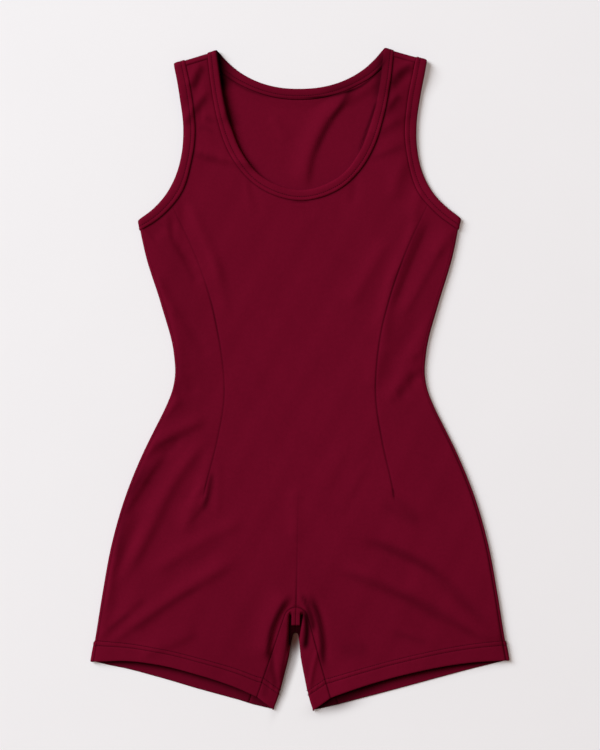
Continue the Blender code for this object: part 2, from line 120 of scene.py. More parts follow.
ARMHOLE_OPEN = (
    (189.6, 187.4), (171.5, 201.4), (158.4, 215.6), (145.4, 239.6), (138.4, 268), (137.3, 299),
    (141.4, 330.8), (149, 372.5),
)
PRINCESS = (
    (135, -354.4), (122, -235), (111.5, -136), (96.8, -72.3), (89.3, -25.3), (93.2, 38.2), (104.9, 92.2),
    (124.6, 148.6), DART_TOP,
)

# How the middle of the garment lies off its middle line, and how far its shoulders are tilted
LEAN_COLUMNS = ("height", "aside")
LEAN = (
    (-389, -8.0), (-269, -4.5), (-150, -2.0), (0, 0.0), (33, -0.6), (58, -0.9), (80, -0.1), (100, 0.2),
    (130, 0.4), (200, 0.8), (390, 1.2),
)
SIDE_LEAN = (  # the same for the sides
    (40, 0.0), (57, -0.2), (104, -0.4), (139, -0.8), (174, -1.0), (185, -0.6), (205, -0.4), (228, -0.9),
    (250, -1.6), (280, -1.5), (300, -1.0), (333, -0.3), (351, 0.3), (370, 0.0),
)
# The tilt of the underarms, where it is full and how far up and down it fades
UNDERARM_TILT = 1.2
UNDERARM_TILT_HALF, UNDERARM_TILT_HEIGHT, UNDERARM_TILT_REACH = 175.0, 195.0, 22.0
# How much lower each leg's hem lies than the even cut's, by half width, and the heights it fades between
LEG_DROP = {
    "left": ((12, 1.8), (30, 2.4), (95, 2.0), (130, 1.5), (175, 0.5), (205, 0.0), (246, 0.3)),
    "right": (
        (20, 1.2), (47, 1.2), (65, 0.2), (117, 0.0), (150, -0.9), (188, -1.1), (206, -0.6), (223, 0.8),
        (246, 1.8),
    ),
}
LEG_DROP_FROM, LEG_DROP_TO = -290.0, -340.0
SHOULDER_TILT = {"left": 1.6, "right": 2.5}  # how far the left tip is up and the right tip down
TILT_FROM, TILT_TO = 200.0, 350.0

# ------------------------------------------------------------------------------------- how the cloth lies

# Height of the front's outer face over the table
LIE_COLUMNS = ("height", "middle", "edge")
LIE = (
    (-389, 6.4, 6.2), (-270, 6.4, 6.4), (-150, 5.2, 6.8), (0, 4.8, 6.4), (120, 5.2, 6.8), (185, 6.6, 6.2),
    (260, 7.2, 7.6), (330, 9.2, 9.2), (400, 9.6, 9.4),
)
LEAST_HEIGHT = 2.2
# How much lower the left strap's outer edge lies, and half widths and heights where that starts and is full
STRAP_SINK = 3.0
STRAP_SINK_OUT, STRAP_SINK_UP, STRAP_SINK_DOWN = (104.0, 138.0), (195.0, 240.0), (368.0, 328.0)
# The same for the right leg's inner edge, which is at a half width at a height and has a slope
LEG_SINK = 2.0
LEG_SINK_EDGE, LEG_SINK_SLOPE, LEG_SINK_WIDE, LEG_SINK_DOWN = (8.0, -333.0), 0.23, 10.0, (-325.0, -355.0)
# How far the legs' mouths stand open, and how far up the leg that fades
MOUTH_RISE = 5.0
MOUTH_REACH = 80.0
# Shade inside the legs' mouths at their inner and outer ends: its share, its reach, and its share far inside
MOUTH_SHADE = {
    "left": ((0.97, 0.86), (34.0, 4.6), (1.0, 0.1)),
    "right": ((0.52, 0.78), (6.0, 5.0), (0.6, 0.1)),
}
MOUTH_ENDS = (20.0, 150.0)  # half widths of those ends
MOUTH_POWER = 2.6  # how fast it goes from the inner end's to the outer one's
MOUTH_SHADE_TOP = 9.0  # over the hem's corner
# Near the sides the creases are lower: this near, and down to this share
EDGE_CALM, LEAST_CALM = 8.0, 0.25
BACK_CALM = (6.0, 36.0)  # distances from the side fold at which the back's creases start and are full

# Creases: the line of each in plan as laid, how high it stands or, if negative, how deep it lies, and its
# half width to the left and to the right of its line. The ones round the crotch were set one by one. The
# other rows were made by another program, which fitted them to how the real cloth is shaded, and then
# rounded.
CREASES = (
    # over the wearer's right hip and leg
    (((-109, -68), (-146, -117), (-163, -148), (-181, -184), (-205, -233)), 2.8, 7.5, 9.5),
    (((-106, -47), (-145, -62), (-193, -96)), 2.6, 6, 9),
    (((-68, -209), (-107, -231), (-145, -254), (-183, -282), (-219, -304)), 2.6, 7, 9.5),
    (((-159, -85), (-181, -115), (-210, -163)), 2.5, 5, 11),
    (((-195, -143), (-215, -203), (-231, -285)), 1.9, 6, 9.5),
    (((-62, -164), (-122, -195), (-144, -209), (-181, -231)), 1.8, 7.5, 10),
    (((-180, -251), (-240, -308)), 1.8, 5, 13.5),
    (((-117, -295), (-193, -328)), 1.5, 6, 14),
    (((-130, -142), (-133, -183)), 1.3, 8, 9.5),
    (((-106, -111), (-116, -148), (-142, -177)), 1.2, 4, 14.5),
    (((-131, -164), (-119, -135), (-102, -79)), 1.2, 6.5, 8),
    (((-161, -90), (-148, -81), (-140, -69)), -1.1, 5.5, 5.5),
    (((-189, -122), (-184, -112), (-178, -99)), 1.1, 12.5, 8),
    (((-189, -156), (-176, -133), (-169, -120)), -1.1, 12.5, 8),
    (((-6, -195), (-6, -148), (-6, -126)), 1.1, 8, 8),
    (((-224, -243), (-213, -223), (-183, -159)), -1.0, 5.5, 5.5),
    (((-106, -142), (-117, -139), (-126, -132)), 0.9, 8, 10),
    (((-122, -145), (-117, -140), (-111, -130)), -0.9, 4.5, 3),
    (((-222, -307), (-212, -303), (-203, -296)), 0.9, 4.5, 4.5),
    (((-210, -258), (-229, -298)), -0.8, 15.5, 4),
    (((-97, -164), (-97, -141), (-96, -90)), 0.7, 4.5, 4.5),
    (((-156, -151), (-214, -246)), 0.4, 4, 6),
    # over the wearer's left hip and leg
    (((40, -220), (94, -240), (119, -250), (154, -270), (186, -286), (256, -317)), 4.0, 9, 7),
    (((66, -186), (114, -213), (148, -227), (174, -244), (211, -278), (224, -291)), -2.6, 6.5, 7),
    (((127, -232), (132, -238), (182, -268), (224, -294)), 1.9, 8, 8),
    (((56, -90), (41, -98), (16, -131)), 0.6, 11, 14),
    (((73, -103), (44, -162)), 0.6, 6, 10),
    (((60, -70), (28, -134)), 0.4, 6, 6),
    (((82, -92), (58, -140)), 0.4, 5, 6),
    # by the waist
    (((139, 8), (113, -22)), -2.6, 10, 6),
    (((143, 203), (119, 136), (102, 81), (96, 24)), 2.2, 8, 6),
    (((-151, 37), (-153, 59), (-161, 85)), -2.0, 4.5, 4.5),
    (((-178, 91), (-150, 38), (-134, -13)), 1.9, 15.5, 8),
    (((141, 16), (110, -21)), 1.6, 5, 11),
    (((-139, -22), (-163, -44)), 1.5, 6, 14.5),
    (((84, -15), (92, 18), (98, 40)), 1.4, 12.5, 8),
    (((-143, 71), (-154, 90), (-172, 124)), 1.4, 5.5, 5.5),
    (((133, -4), (100, -26)), 1.2, 6, 8),
    (((163, 81), (111, 2)), 1.2, 14, 9),
    (((145, 72), (123, 34), (99, -16)), -1.2, 7.5, 11.5),
    (((-140, 79), (-107, 23)), -1.1, 8, 6),
    (((172, 167), (142, 112), (117, 68)), 1.1, 5, 7.5),
    (((120, 163), (109, 127), (86, 46)), 1.0, 4, 6.5),
    (((-105, 155), (-84, 68)), 0.9, 6, 9),
    (((146, 37), (129, 22)), 0.9, 4, 8),
    (((-134, 19), (-125, -22)), -0.8, 7.5, 9),
    # over the chest
    (((-150, 197), (-147, 163), (-114, 127)), -1.8, 5, 5),
    (((-140, 224), (-104, 145), (-88, 102)), 1.7, 7, 6),
    (((103, 166), (55, 80)), 1.6, 8, 10),
    (((-135, 218), (-139, 138)), -1.6, 12, 6.5),
    (((156, 142), (169, 161), (179, 176)), 1.6, 10, 8),
    (((156, 189), (123, 110), (110, 76)), -1.5, 11, 5),
    (((110, 208), (115, 234), (126, 262)), 1.3, 8, 8),
    (((131, 182), (135, 196), (143, 225)), 1.3, 8, 5),
    (((-175, 164), (-167, 172), (-161, 181)), -1.3, 15.5, 6.5),
    (((-139, 149), (-119, 111)), -1.2, 10, 4),
    (((66, 245), (63, 202)), -0.8, 4.5, 4.5),
    (((101, 104), (108, 118), (122, 144)), 0.7, 4.5, 3.5),
    (((-65, 239), (-56, 188)), 0.5, 3, 4),
    (((16, 206), (11, 187)), -0.5, 3.5, 13.5),
    (((-59, 238), (-45, 187)), -0.4, 4, 4),
    (((49, 221), (45, 190)), -0.3, 3.5, 3.5),
    # over the straps
    (((-132, 267), (-48, 249)), 2.4, 6, 5),
    (((-106, 342), (-140, 296)), 2.1, 5, 6),
    (((103, 330), (115, 345), (129, 362)), -1.9, 6.5, 6.5),
    (((-116, 370), (-133, 341)), 1.6, 4, 5),
    (((144, 380), (108, 354)), 1.6, 6, 5),
    (((115, 337), (99, 311)), 1.4, 4, 5),
    (((-117, 308), (-84, 306)), 1.3, 8, 5),
    (((85, 284), (114, 304), (136, 317)), 1.3, 8, 6.5),
    (((-124, 336), (-114, 355)), -0.9, 4, 4),
    (((130, 286), (89, 262)), 0.8, 6, 9.5),
    (((-115, 262), (-85, 254)), 0.5, 15.5, 5),
    (((-125, 368), (-124, 342)), 0.5, 4, 6),
    # round the crotch
    (
        ((-9, -250), (-16, -258), (-23.5, -268), (-30.5, -281), (-36, -298), (-39.5, -317), (-41, -334)),
        3.8, 4, 14,
    ),
    (((-8, -258), (-13, -265), (-19, -274), (-25.5, -287), (-31, -304), (-34, -318)), -1.2, 3, 3),
    (((-5, -248), (1, -256), (7, -267), (12, -281), (14, -300)), 1.3, 3, 3),
    (((-1, -248), (5, -256), (12, -268), (17, -281), (19, -300)), -0.8, 3, 3),
    (((2, -246), (11, -258), (19, -275), (24, -295), (27, -325)), 1.7, 3.5, 5),
    (((8, -250), (17, -264), (25, -281), (29, -303), (31, -340)), -1.5, 5, 3.5),
    (((4, -270), (9, -283), (9.5, -299), (8, -312), (6, -322)), -1.5, 3.5, 3),
    (((22, -315), (15, -342), (11, -366)), 1.2, 3, 3),
    (((-34, -316), (-31, -340), (-26, -368)), -1.1, 4, 4),
    (((-14, -292), (-20, -325), (-28, -378)), 1.7, 4, 9),
)

# The same for the back, which stands off the table along them
BACK_CREASES = (
    (((66, 345), (50.5, 327), (31.5, 305), (17.5, 280), (9, 253), (5, 218)), 3.6, 5, 13),
    (((97, 355), (49, 321)), 1.5, 6, 9),
    (((-34, 310), (-14, 278)), 0.7, 6, 6),
    (((-90, -60), (-160, -140)), 1.0, 9, 12),
    (((84, -70), (150, -150), (190, -190)), 1.1, 9, 11),
    (((-120, -230), (-190, -270)), 0.9, 10, 9),
    (((60, 20), (118, -8)), 0.8, 8, 9),
    (((-60, 40), (-120, 12)), 0.8, 9, 8),
)

CREASE_SAMPLES = 14
CREASE_REACH = 3  # half widths, past which a crease adds nothing
CREASE_FADE = 0.2  # share of a crease's length over which each end fades

# Soft shade that lies along some of the creases and over the panels: line, share and half widths. The same
# program made six of the lines, and the rest were set one by one.
SHADES = (
    (((70, -185), (115, -205), (151, -222), (176, -244), (211, -277), (232, -298)), 0.16, 6, 6),
    (((34, -222), (93, -241), (118, -254), (153, -273), (183, -292)), 0.18, 5, 7),
    (((106, -297), (152, -311)), 0.14, 4, 5),
    (((72, -190), (110, -201), (141, -216), (168, -238)), 0.13, 5, 5),
    (((110, -247), (157, -269), (215, -310)), 0.13, 4, 5),
    (((45, -322), (82, -316)), 0.14, 10, 10),
    (((110, -138), (142, -168)), 0.13, 7, 7),
    (((-229, -298), (-198, -275)), 0.2, 3, 3),
    (((-208, -303), (-150, -263), (-108, -240)), 0.17, 3.5, 3.5),
    (((-138, -222), (-83, -188)), 0.1, 4, 4),
    (((-177, -81), (-124, -63)), 0.14, 3, 3),
    (((-205, -142), (-163, -88)), 0.12, 3.5, 3.5),
    (((-145, 30), (-141, 5), (-146, -25)), 0.14, 4, 6),
    (((93, -147), (146, -173)), 0.12, 8, 8),
    (((-103, -108), (-106, -130), (-114, -158)), 0.42, 2.5, 3),
    (((109, -128), (110, -141)), 0.35, 1.8, 1.8),
    (((-132, 267), (-93, 256)), 0.18, 5, 4),
    (((81, 256), (126, 274)), 0.16, 3, 4),
    (
        ((-12, -253), (-17.5, -261), (-23, -271), (-29, -283), (-34.5, -296), (-36, -310), (-38, -322),
         (-39.5, -332)),
        0.5, 2.6, 2.5,
    ),
    (((0, -252), (4, -258), (9, -269), (14, -283), (16, -300)), 0.5, 3.2, 2.8),
    (((9, -253), (15, -263), (21, -279), (24.5, -300), (28, -345)), 0.62, 3.5, 3),
    (((3, -270), (7.5, -282), (8.5, -296), (7.5, -308), (6, -322)), 0.85, 4, 4),
    (((-13, -296), (-18, -325), (-24, -362)), 0.26, 3.5, 4),
    (((-34, -316), (-32, -340), (-27, -368)), 0.3, 3, 4.5),
    (((-39, -335), (-40, -352), (-43, -378)), 0.26, 5, 3),
    (((-330, -300), (-40, -310), (0, -290), (60, -300), (330, -300)), 0.09, 90, 80),
    (((-165, 240), (-140, 100), (-122, 0), (-155, -70), (-200, -200)), 0.09, 24, 24),
    (((165, 230), (132, 60), (120, 0), (150, -80), (190, -220)), 0.07, 28, 28),
    (((-118, 410), (-128, 290)), 0.12, 22, 22),
    (((122, 420), (108, 290)), 0.17, 22, 22),
    (((-174, -86), (-190, -117), (-203, -149), (-211, -184), (-218, -225)), 0.3, 5, 4.5),
    (((-104.5, 412), (-97.5, 380), (-93.3, 352), (-91, 336)), 1.0, 14, 1.2),
    (((-93.3, 352), (-91, 335), (-86, 310), (-80, 290)), 0.62, 7.5, 1.4),
    (((20, 338), (55, 346), (80, 364), (98, 388), (110, 410)), 0.22, 12, 12),
    (((-80, 352), (-40, 338), (0, 334), (40, 338), (80, 352)), 0.16, 8, 8),
    (((68, 345), (59, 338), (48.5, 321.5), (36, 304), (25, 282), (15, 258)), 0.45, 2.6, 2.6),
    (((-112, 368), (-119, 354), (-127, 337)), 0.3, 3.5, 3.5),
    (((-109, 331), (-117, 321), (-125, 311)), 0.25, 4, 4),
    (((-110, 309), (-102, 298)), 0.14, 4, 4),
    (((-122, 291), (-111, 294), (-100, 287)), 0.15, 3.5, 3.5),
    (((133, 367), (117, 358), (107, 341)), 0.38, 5, 4.5),
    (((-92, 360), (-70.5, 343.7), (-47, 334.3), (0, 329.5), (40, 333.5)), 0.34, 1.6, 1.4),
    (((0, 329.5), (47, 334.9), (70.5, 343.1), (94, 364.3), (104, 378)), 0.6, 1.4, 1.6),
    (((120, 333), (103, 315)), 0.2, 4, 4),
    (((118, 302), (94, 288)), 0.15, 4, 4),
    (((99, 386), (94, 352), (90, 325)), 0.4, 3, 6),
    (((92, 333), (84, 308), (76, 286), (68, 261)), 0.6, 1.9, 1.6),
)

# Slow unevenness of the cloth: wave lengths across and up, phase and height
SWELLS = ((96, 141, 0.3, 0.30), (63, -88, 1.7, 0.22), (39, 52, 4.1, 0.10), (-27, 58, 2.2, 0.07))

# Seams: how deep the cloth dips along them, by height where it varies
SEAM_HALF_WIDTH = 0.95
DART_DEPTH = {
    "left": (
        (-389, 0.0), (-146, 0.0), (-132, 0.55), (-100, 0.48), (-72, 0.6), (-55, 0.75), (-37, 0.6), (16, 0.6),
        (33, 0.7), (86, 0.7), (104, 0.7), (122, 0.68), (139, 0.5), (157, 0.32), (174, 0.25), (204, 0.2),
    ),
    "right": (
        (-389, 0.0), (-146, 0.0), (-125, 0.6), (-107, 0.36), (-72, 0.38), (-55, 0.36), (-37, 0.33),
        (-19, 0.45), (-2, 0.3), (16, 0.36), (33, 0.42), (51, 0.6), (69, 0.78), (86, 0.6), (104, 0.38),
        (122, 0.25), (204, 0.2),
    ),
}
CENTRE_DEPTH = (
    (-300, 0.7), (-262, 0.7), (-248, 0.48), (-225, 0.26), (-201, 0.16), (-160, 0.1), (-125, 0.0), (220, 0.0),
)
EDGE_DEPTH = 0.55
SIDE_DEPTH = ((-389, 0.9), (-80, 0.7), (-20, 0.15), (174, 0.12), (182, 0.0))
SIDE_SHARE = {"left": 1.0, "right": 0.35}
INSEAM_DEPTH = 0.6
SHOULDER_DEPTH = 0.18
# Beside the bands a seam is darkest where its band stands between it and the light
TO_LIGHT = (-0.85, 0.53)  # where the key light stands, in plan
LIT_SEAM = 0.1  # what is left of the dark line on the light's side
OPENING_MIDDLES = {"neck": (0.0, 330.0), "arm": (215.0, 290.0)}
EDGE_REACH = 3.0
# The bands' soft shade on the panels, how far it goes, and how fast it fades as a band turns to the light
BAND_SHADE, BAND_SHADE_REACH, BAND_SHADE_SLOPE = 0.85, 1.7, 1.4

# The hem's section: height over the cloth by distance from its edge, with its two rows of stitching
HEM_PROFILE = (
    (0.0, -0.5), (0.4, -0.1), (1.0, 0.2), (2.0, 0.35), (3.5, 0.4), (5.5, 0.4), (8.0, 0.4), (11.0, 0.4),
    (14.0, 0.4), (16.2, 0.4), (17.4, 0.25), (18.2, -0.1), (19.0, 0.3), (20.2, 0.5), (21.6, 0.5), (22.8, 0.3),
    (23.5, -0.12), (24.2, 0.02), (25.2, 0.02), (27.0, 0.0),
)
HEM_STATIONS = tuple(station for station, _ in HEM_PROFILE)
HEM_STITCHES = (18.2, 23.5)  # distances of its two rows
# How much painted shade lies in the hem's two stitched grooves
HEM_STITCH_DARK = 0.75
HEM_ENDS = 22.8  # where the turned-up cloth ends
HEM_END_ROW = HEM_STATIONS.index(HEM_ENDS)
HEM_STANDS_OUT = 0.8  # at the side folds
HEM_SITS = 0.5  # how much closer to the cloth the hem's section lies on the back
# Puckers between the rows of stitching: height, length, where and how far from the edge, and how they vary
PUCKER_HIGH = 0.16
PUCKER_LONG = 6.6
PUCKER_AT, PUCKER_REACH = 20.8, 3.2
PUCKER_TURN, PUCKER_EVERY = 2.1, 17.0

# The crotch: each leg's inner fold where it starts beside the tongue, as half by height
SLIT_COLUMNS = ("height", "left", "right")
SLIT = (
    (-330, 8.0, 9.8), (-316, 6.2, 7.6), (-301, 5.2, 7.6), (-292, 6.4, 7.6), (-280, 8.0, 7.4),
    (-268, 8.6, 7.8),
)
SLIT_STARTS = (-273.0, -280.0)  # heights between which the slits open
SLIT_CLOSES = {"left": (-298.0, -314.0), "right": (-310.0, -326.0)}  # and between which each closes
LEG_ROUND = 4.0  # radius of the leg's fold beside the slit
LOW_HEIGHT = 1.9  # of the cloth at the bottom of a slit
# Shade in the slits: its share, the heights over the table and the heights up the body between which it grows
SLIT_SHADE = 0.95
SHADE_HIGH, SHADE_LOW = 4.0, 2.5
SLIT_SHADE_TOP, SLIT_SHADE_END = (-271.0, -275.0), (-318.0, -310.0)
CROTCH_SEAM, CROTCH_SEAM_WIDE = 0.5, 0.8  # depth and half width of the seam between the gussets
# How much further in the legs' inner folds lie than the even cut's
LEG_TRIM = (
    (-389, 0.5), (-384, 1.2), (-378, 2.0), (-370, 2.5), (-333, 2.3), (-326, 2.1), (-319, 1.3), (-310, 0.3),
    (-303, 0.0),
)
TONGUE_EDGE = (5.6, 4.5)  # half widths at which it starts and is full
TONGUE_END = (-291.6, -289.6)  # and heights
TONGUE_HEIGHT = ((-300, 4.2), (-290.6, 4.5), (-280, 5.6), (-268, 6.5))

# The bands' section, from the panel's edge over the open edge and back: distance across, height over the
# panel's outer face
BAND_SECTION = (
    (-0.1, -0.75), (0.1, -0.25), (0.5, 0.45), (1.2, 0.9), (2.2, 1.05), (3.4, 0.95), (4.2, 0.82), (4.7, 0.66),
    (5.2, 0.82), (6.4, 0.98), (8.4, 1.15), (10.2, 1.05), (11.5, 0.7), (12.3, 0.1), (12.6, -0.65),
    (12.3, -1.4), (11.4, -1.9), (9.8, -2.1), (8.0, -2.15), (6.2, -2.05), (5.2, -1.85), (4.7, -1.65),
    (4.2, -1.85), (3.2, -2.05), (2.0, -2.1), (0.9, -1.95), (0.3, -1.6),
)
SECTION = np.array(BAND_SECTION)
BAND_STITCH = 4.7  # where across the band its stitches run
# Painted shade in the band's stitched groove: its share and half width
STITCH_DARK, STITCH_DARK_WIDE = 0.5, 0.5
BAND_EDGE_DARK = 0.3  # how far over the panel's edge the seam's painted dark line goes
BAND_SINK = 1.15  # the back rises this much beside its bands, so that they lie flat on the table
BAND_FADE = 14.0

# Width and length of each cut, in metres. The front's and back's are given a hundredth over their plan's.
# A gusset's length is a guess, a fifth over its plan's, and its width follows from its area.
FRONT_FLAT = (0.49, 0.76)
BACK_FLAT = (0.512, 0.784)
GUSSET_TALL = 0.132
GUSSET_WIDEST = 1.4  # the gusset's width, as a share of its mean one

# How many steps each stretch takes
FINE = np.array((0.0, 0.5, 1.1, 2.0, 3.2, 5.0, 7.5))  # distances from a seam
LEG_ROWS = 26
ARCH_ROWS = 9
BODY_ROWS = 134
STRAP_ROWS = 56
CENTRE_COLUMNS = 34
SIDE_PANEL_COLUMNS = 26
BACK_COLUMNS = 60
BACK_UNDERARM_ROWS = 14
NAPE_ROWS = 40
FOLD_TURNS = np.linspace(0, math.pi, 11)[1:-1]  # round a fold, between the front and the back
GUSSET_LEG_ROWS = 56
GUSSET_ARCH_ROWS = 26
GUSSET_FRONT_COLUMNS = 34
GUSSET_BACK_COLUMNS = 8
BAND_FRONT_ROWS = 90
BAND_BACK_ROWS = 56
BAND_UNDERARM_ROWS = 24
LINE_SAMPLES = 600
SIDE_SAMPLES = 300
SEAM_SAMPLES = 70
BEND_POWER = 8  # keeps the bend of the side panel's rows near the armhole
WELD = 0.00001


def smooth(at, xs, ys):
    """A smooth curve through (xs, ys), read at the given places: cubic, with slopes from the neighbours."""
    xs, ys, at = (np.asarray(a, float) for a in (xs, ys, at))
    slopes = np.gradient(ys, xs)
    i = np.clip(np.searchsorted(xs, at) - 1, 0, len(xs) - 2)
    step = xs[i + 1] - xs[i]
    t = np.clip((at - xs[i]) / step, 0, 1)
    from_left = (1 + 2 * t) * (1 - t) ** 2 * ys[i] + t * (1 - t) ** 2 * step * slopes[i]
    from_right = t * t * (3 - 2 * t) * ys[i + 1] - t * t * (1 - t) * step * slopes[i + 1]
    return from_left + from_right


def ease(share):
    share = np.clip(share, 0, 1)
    return share * share * (3 - 2 * share)


def ramp(value, start, end):
    """0 at the start and 1 at the end, eased between."""
    return ease((value - start) / (end - start))


def bell(distance, reach):
    return np.exp(-((distance / reach) ** 2))


def front_share(turn):
    """1 on the front and 0 on the back, by the turn round a fold."""
    return (1 + np.cos(turn)) / 2


def along_points(points):
    """The distance along a line at each of its points."""
    return np.concatenate([[0], np.cumsum(np.linalg.norm(np.diff(points, axis=0), axis=1))])


def of_side(table, side):
    return table["left" if side > 0 else "right"]


def read(table, columns, name, height):
    """The table's named column at any height."""
    heights = [row[columns.index("height")] for row in table]
    values = [row[columns.index(name)] for row in table]
    return smooth(height, heights, values)


def by_height(pairs, height):
    """Straight lines through (height, value) pairs."""
    return np.interp(height, [pair[0] for pair in pairs], [pair[1] for pair in pairs])


def side_half(height):
    return read(SIDE, SIDE_COLUMNS, "half", height)


def inside_side(points):
    """How far points lie inside the side's fold line."""
    return side_half(points[..., 1]) - points[..., 0]


SHOULDER_RISE = (SHOULDER_NECK[1] - SHOULDER_TIP[1]) / (SHOULDER_TIP[0] - SHOULDER_NECK[0])


def under_shoulder(points):
    """How far points lie below the shoulder's fold line."""
    return SHOULDER_TIP[1] + (SHOULDER_TIP[0] - points[..., 0]) * SHOULDER_RISE - points[..., 1]


def height_of(points):
    return points[..., 1]


class Edge:
    """A line in plan that gives points by their distance along it."""

    def __init__(self, points):
        self.points = np.array(points, float)
        self.along = along_points(self.points)

    @classmethod
    def through(cls, points, samples=LINE_SAMPLES):
        """A smooth line through a few points. One that starts on the middle line crosses it level."""
        from_middle = points[0][0] == 0
        coarse = cls([(-points[1][0], points[1][1]), *points] if from_middle else points)
        fine = np.linspace(coarse.along[1] if from_middle else 0, coarse.along[-1], samples)
        return cls(np.stack([smooth(fine, coarse.along, coarse.points[:, k]) for k in (0, 1)], axis=1))

    def at(self, lengths):
        return np.stack([np.interp(lengths, self.along, self.points[:, k]) for k in (0, 1)], axis=-1)

    def where(self, distance, wanted):
        """The length along the line at which a distance that grows or falls along it reaches a value."""
        values = distance(self.points)
        order = np.argsort(values)
        return np.interp(wanted, values[order], self.along[order])

    def nearest(self, point):
        return self.along[np.argmin(np.linalg.norm(self.points - np.array(point), axis=1))]

    def gap(self, points):
        """How far plan points lie off a seam."""
        return Edge(self.at(np.linspace(0, self.along[-1], SEAM_SAMPLES))).off(points)[0]

    def off(self, points):
        """How far plan points lie off the line, on which side, + on its left, and how far along it."""
        best = np.full(points.shape[:-1], np.inf)
        side, along = np.zeros_like(best), np.zeros_like(best)
        for start, end, before in zip(self.points, self.points[1:], self.along):
            run = end - start
            length = np.linalg.norm(run)
            away = points - start
            share = np.clip(away @ run / length**2, 0, 1)
            gap = np.linalg.norm(away - share[..., None] * run, axis=-1)
            nearer = gap < best
            best = np.where(nearer, gap, best)
            side = np.where(nearer, np.sign(run[0] * away[..., 1] - run[1] * away[..., 0]), side)
            along = np.where(nearer, before + share * length, along)
        return best, side, along


NECK, NECK_OPEN = Edge.through(FRONT_NECK), Edge.through(FRONT_NECK_OPEN)
NAPE, NAPE_OPEN = Edge.through(BACK_NECK), Edge.through(BACK_NECK_OPEN)
ARM, ARM_OPEN = Edge.through(ARMHOLE), Edge.through(ARMHOLE_OPEN)
DART = Edge.through(PRINCESS)


def mirrored(points, side):
    return points * np.array([side, 1.0])


def lay(points):
    """Plan points of the even cut as the garment lies: its middle a little aside, its shoulders tilted."""
    x, y = points[..., 0], points[..., 1]
    middle = 1 - np.clip(np.abs(x) / side_half(y), 0, 1) ** 2
    shifted = x + read(LEAN, LEAN_COLUMNS, "aside", y) * middle
    shifted = shifted + by_height(SIDE_LEAN, y) * (1 - middle)
    tilt = np.where(x > 0, *SHOULDER_TILT.values()) * np.clip(x / SHOULDER_TIP[0], -1, 1)
    tilt = tilt * ramp(y, TILT_FROM, TILT_TO)
    under = np.clip(x / UNDERARM_TILT_HALF, -1, 1) ** 3 * bell(y - UNDERARM_TILT_HEIGHT, UNDERARM_TILT_REACH)
    tilt = tilt + UNDERARM_TILT * under
    drops = [np.interp(np.abs(x), *np.array(LEG_DROP[name]).T) for name in SIDES]
    drop = np.where(x > 0, *drops) * ramp(y, LEG_DROP_FROM, LEG_DROP_TO)
    return np.stack([shifted, y + tilt - drop], axis=-1)


def creased(laid, creases):
    """The height that creases add, or the share that soft shades add, at laid plan points."""
    total = np.zeros(laid.shape[:-1])
    for path, high, left, right in creases:
        line = Edge.through(path, CREASE_SAMPLES)
        reach = CREASE_REACH * max(left, right)
        inside = (laid > line.points.min(0) - reach) & (laid < line.points.max(0) + reach)
        near = inside.all(axis=-1)
        if not near.any():
            continue
        gap, side, along = line.off(laid[near])
        share = along / line.along[-1]
        ends = ease(share / CREASE_FADE) * ease((1 - share) / CREASE_FADE)
        total[near] += high * ends * bell(gap, np.where(side > 0, left, right))
    return total


def swelled(laid):
    """What the cloth's slow unevenness adds to the height."""
    waves = [high * np.sin(2 * math.pi * (laid[..., 0] / across + laid[..., 1] / up) + phase)
             for across, up, phase, high in SWELLS]
    return sum(waves)


def arch(radius, slope, top, foot, leg_rows=LEG_ROWS, arch_rows=ARCH_ROWS):
    """Half an inner-leg arch, from its foot up the straight flank and round to its top, as (half, height)."""
    lean = math.atan(slope)
    centre = top - radius
    flank_top = np.array([radius * math.cos(lean), centre + radius * math.sin(lean)])
    flank_foot = np.array([flank_top[0] + slope * (flank_top[1] - foot), foot])
    fixed = np.array(HEM_STATIONS) / np.linalg.norm(flank_top - flank_foot)
    shares = np.concatenate([fixed, np.linspace(fixed[-1], 1, leg_rows + 1)[1:]])
    flank = flank_foot + shares[:, None] * (flank_top - flank_foot)
    angles = np.linspace(lean, math.pi / 2, arch_rows + 1)[1:]
    round_top = np.stack([radius * np.cos(angles), centre + radius * np.sin(angles)], axis=1)
    round_top[-1, 0] = 0.0
    return np.concatenate([flank, round_top])


FRONT_ARCH_LINE = Edge(arch(**FRONT_ARCH))
FRONT_FOOT = FRONT_ARCH_LINE.points[0]


def sunk(half, y, side):
    """How much lower the cloth lies at the left strap's outer edge and at the right leg's inner one."""
    if side > 0:
        share = ramp(half, *STRAP_SINK_OUT) * ramp(y, *STRAP_SINK_UP) * ramp(y, *STRAP_SINK_DOWN)
        return STRAP_SINK * share
    edge = LEG_SINK_EDGE[0] - LEG_SINK_SLOPE * (y - LEG_SINK_EDGE[1])
    return LEG_SINK * bell(half - edge, LEG_SINK_WIDE) * ramp(y, *LEG_SINK_DOWN)


def base_height(points, side):
    """Height of the front's outer face at plan points of the even cut, without seams."""
    half, y = np.abs(points[..., 0]), points[..., 1]
    out = np.clip(half / side_half(y), 0, 1)
    middle = read(LIE, LIE_COLUMNS, "middle", y)
    edge = read(LIE, LIE_COLUMNS, "edge", y)
    across = np.clip((half - FRONT_FOOT[0]) / (side_half(y) - FRONT_FOOT[0]), 0, 1)
    above_hem = np.maximum(y - FRONT_FOOT[1], 0)
    mouth = MOUTH_RISE * np.sin(math.pi * across) * bell(above_hem, MOUTH_REACH)
    laid = lay(mirrored(points, side))
    calm = np.clip(inside_side(points) / EDGE_CALM, LEAST_CALM, 1)
    uneven = creased(laid, CREASES) * bpy.context.scene.bodysuit_cloth.crease_share + swelled(laid)
    sink = sunk(half, y, side)
    return np.maximum(middle + (edge - middle) * out**2 + mouth + uneven * calm - sink, LEAST_HEIGHT)


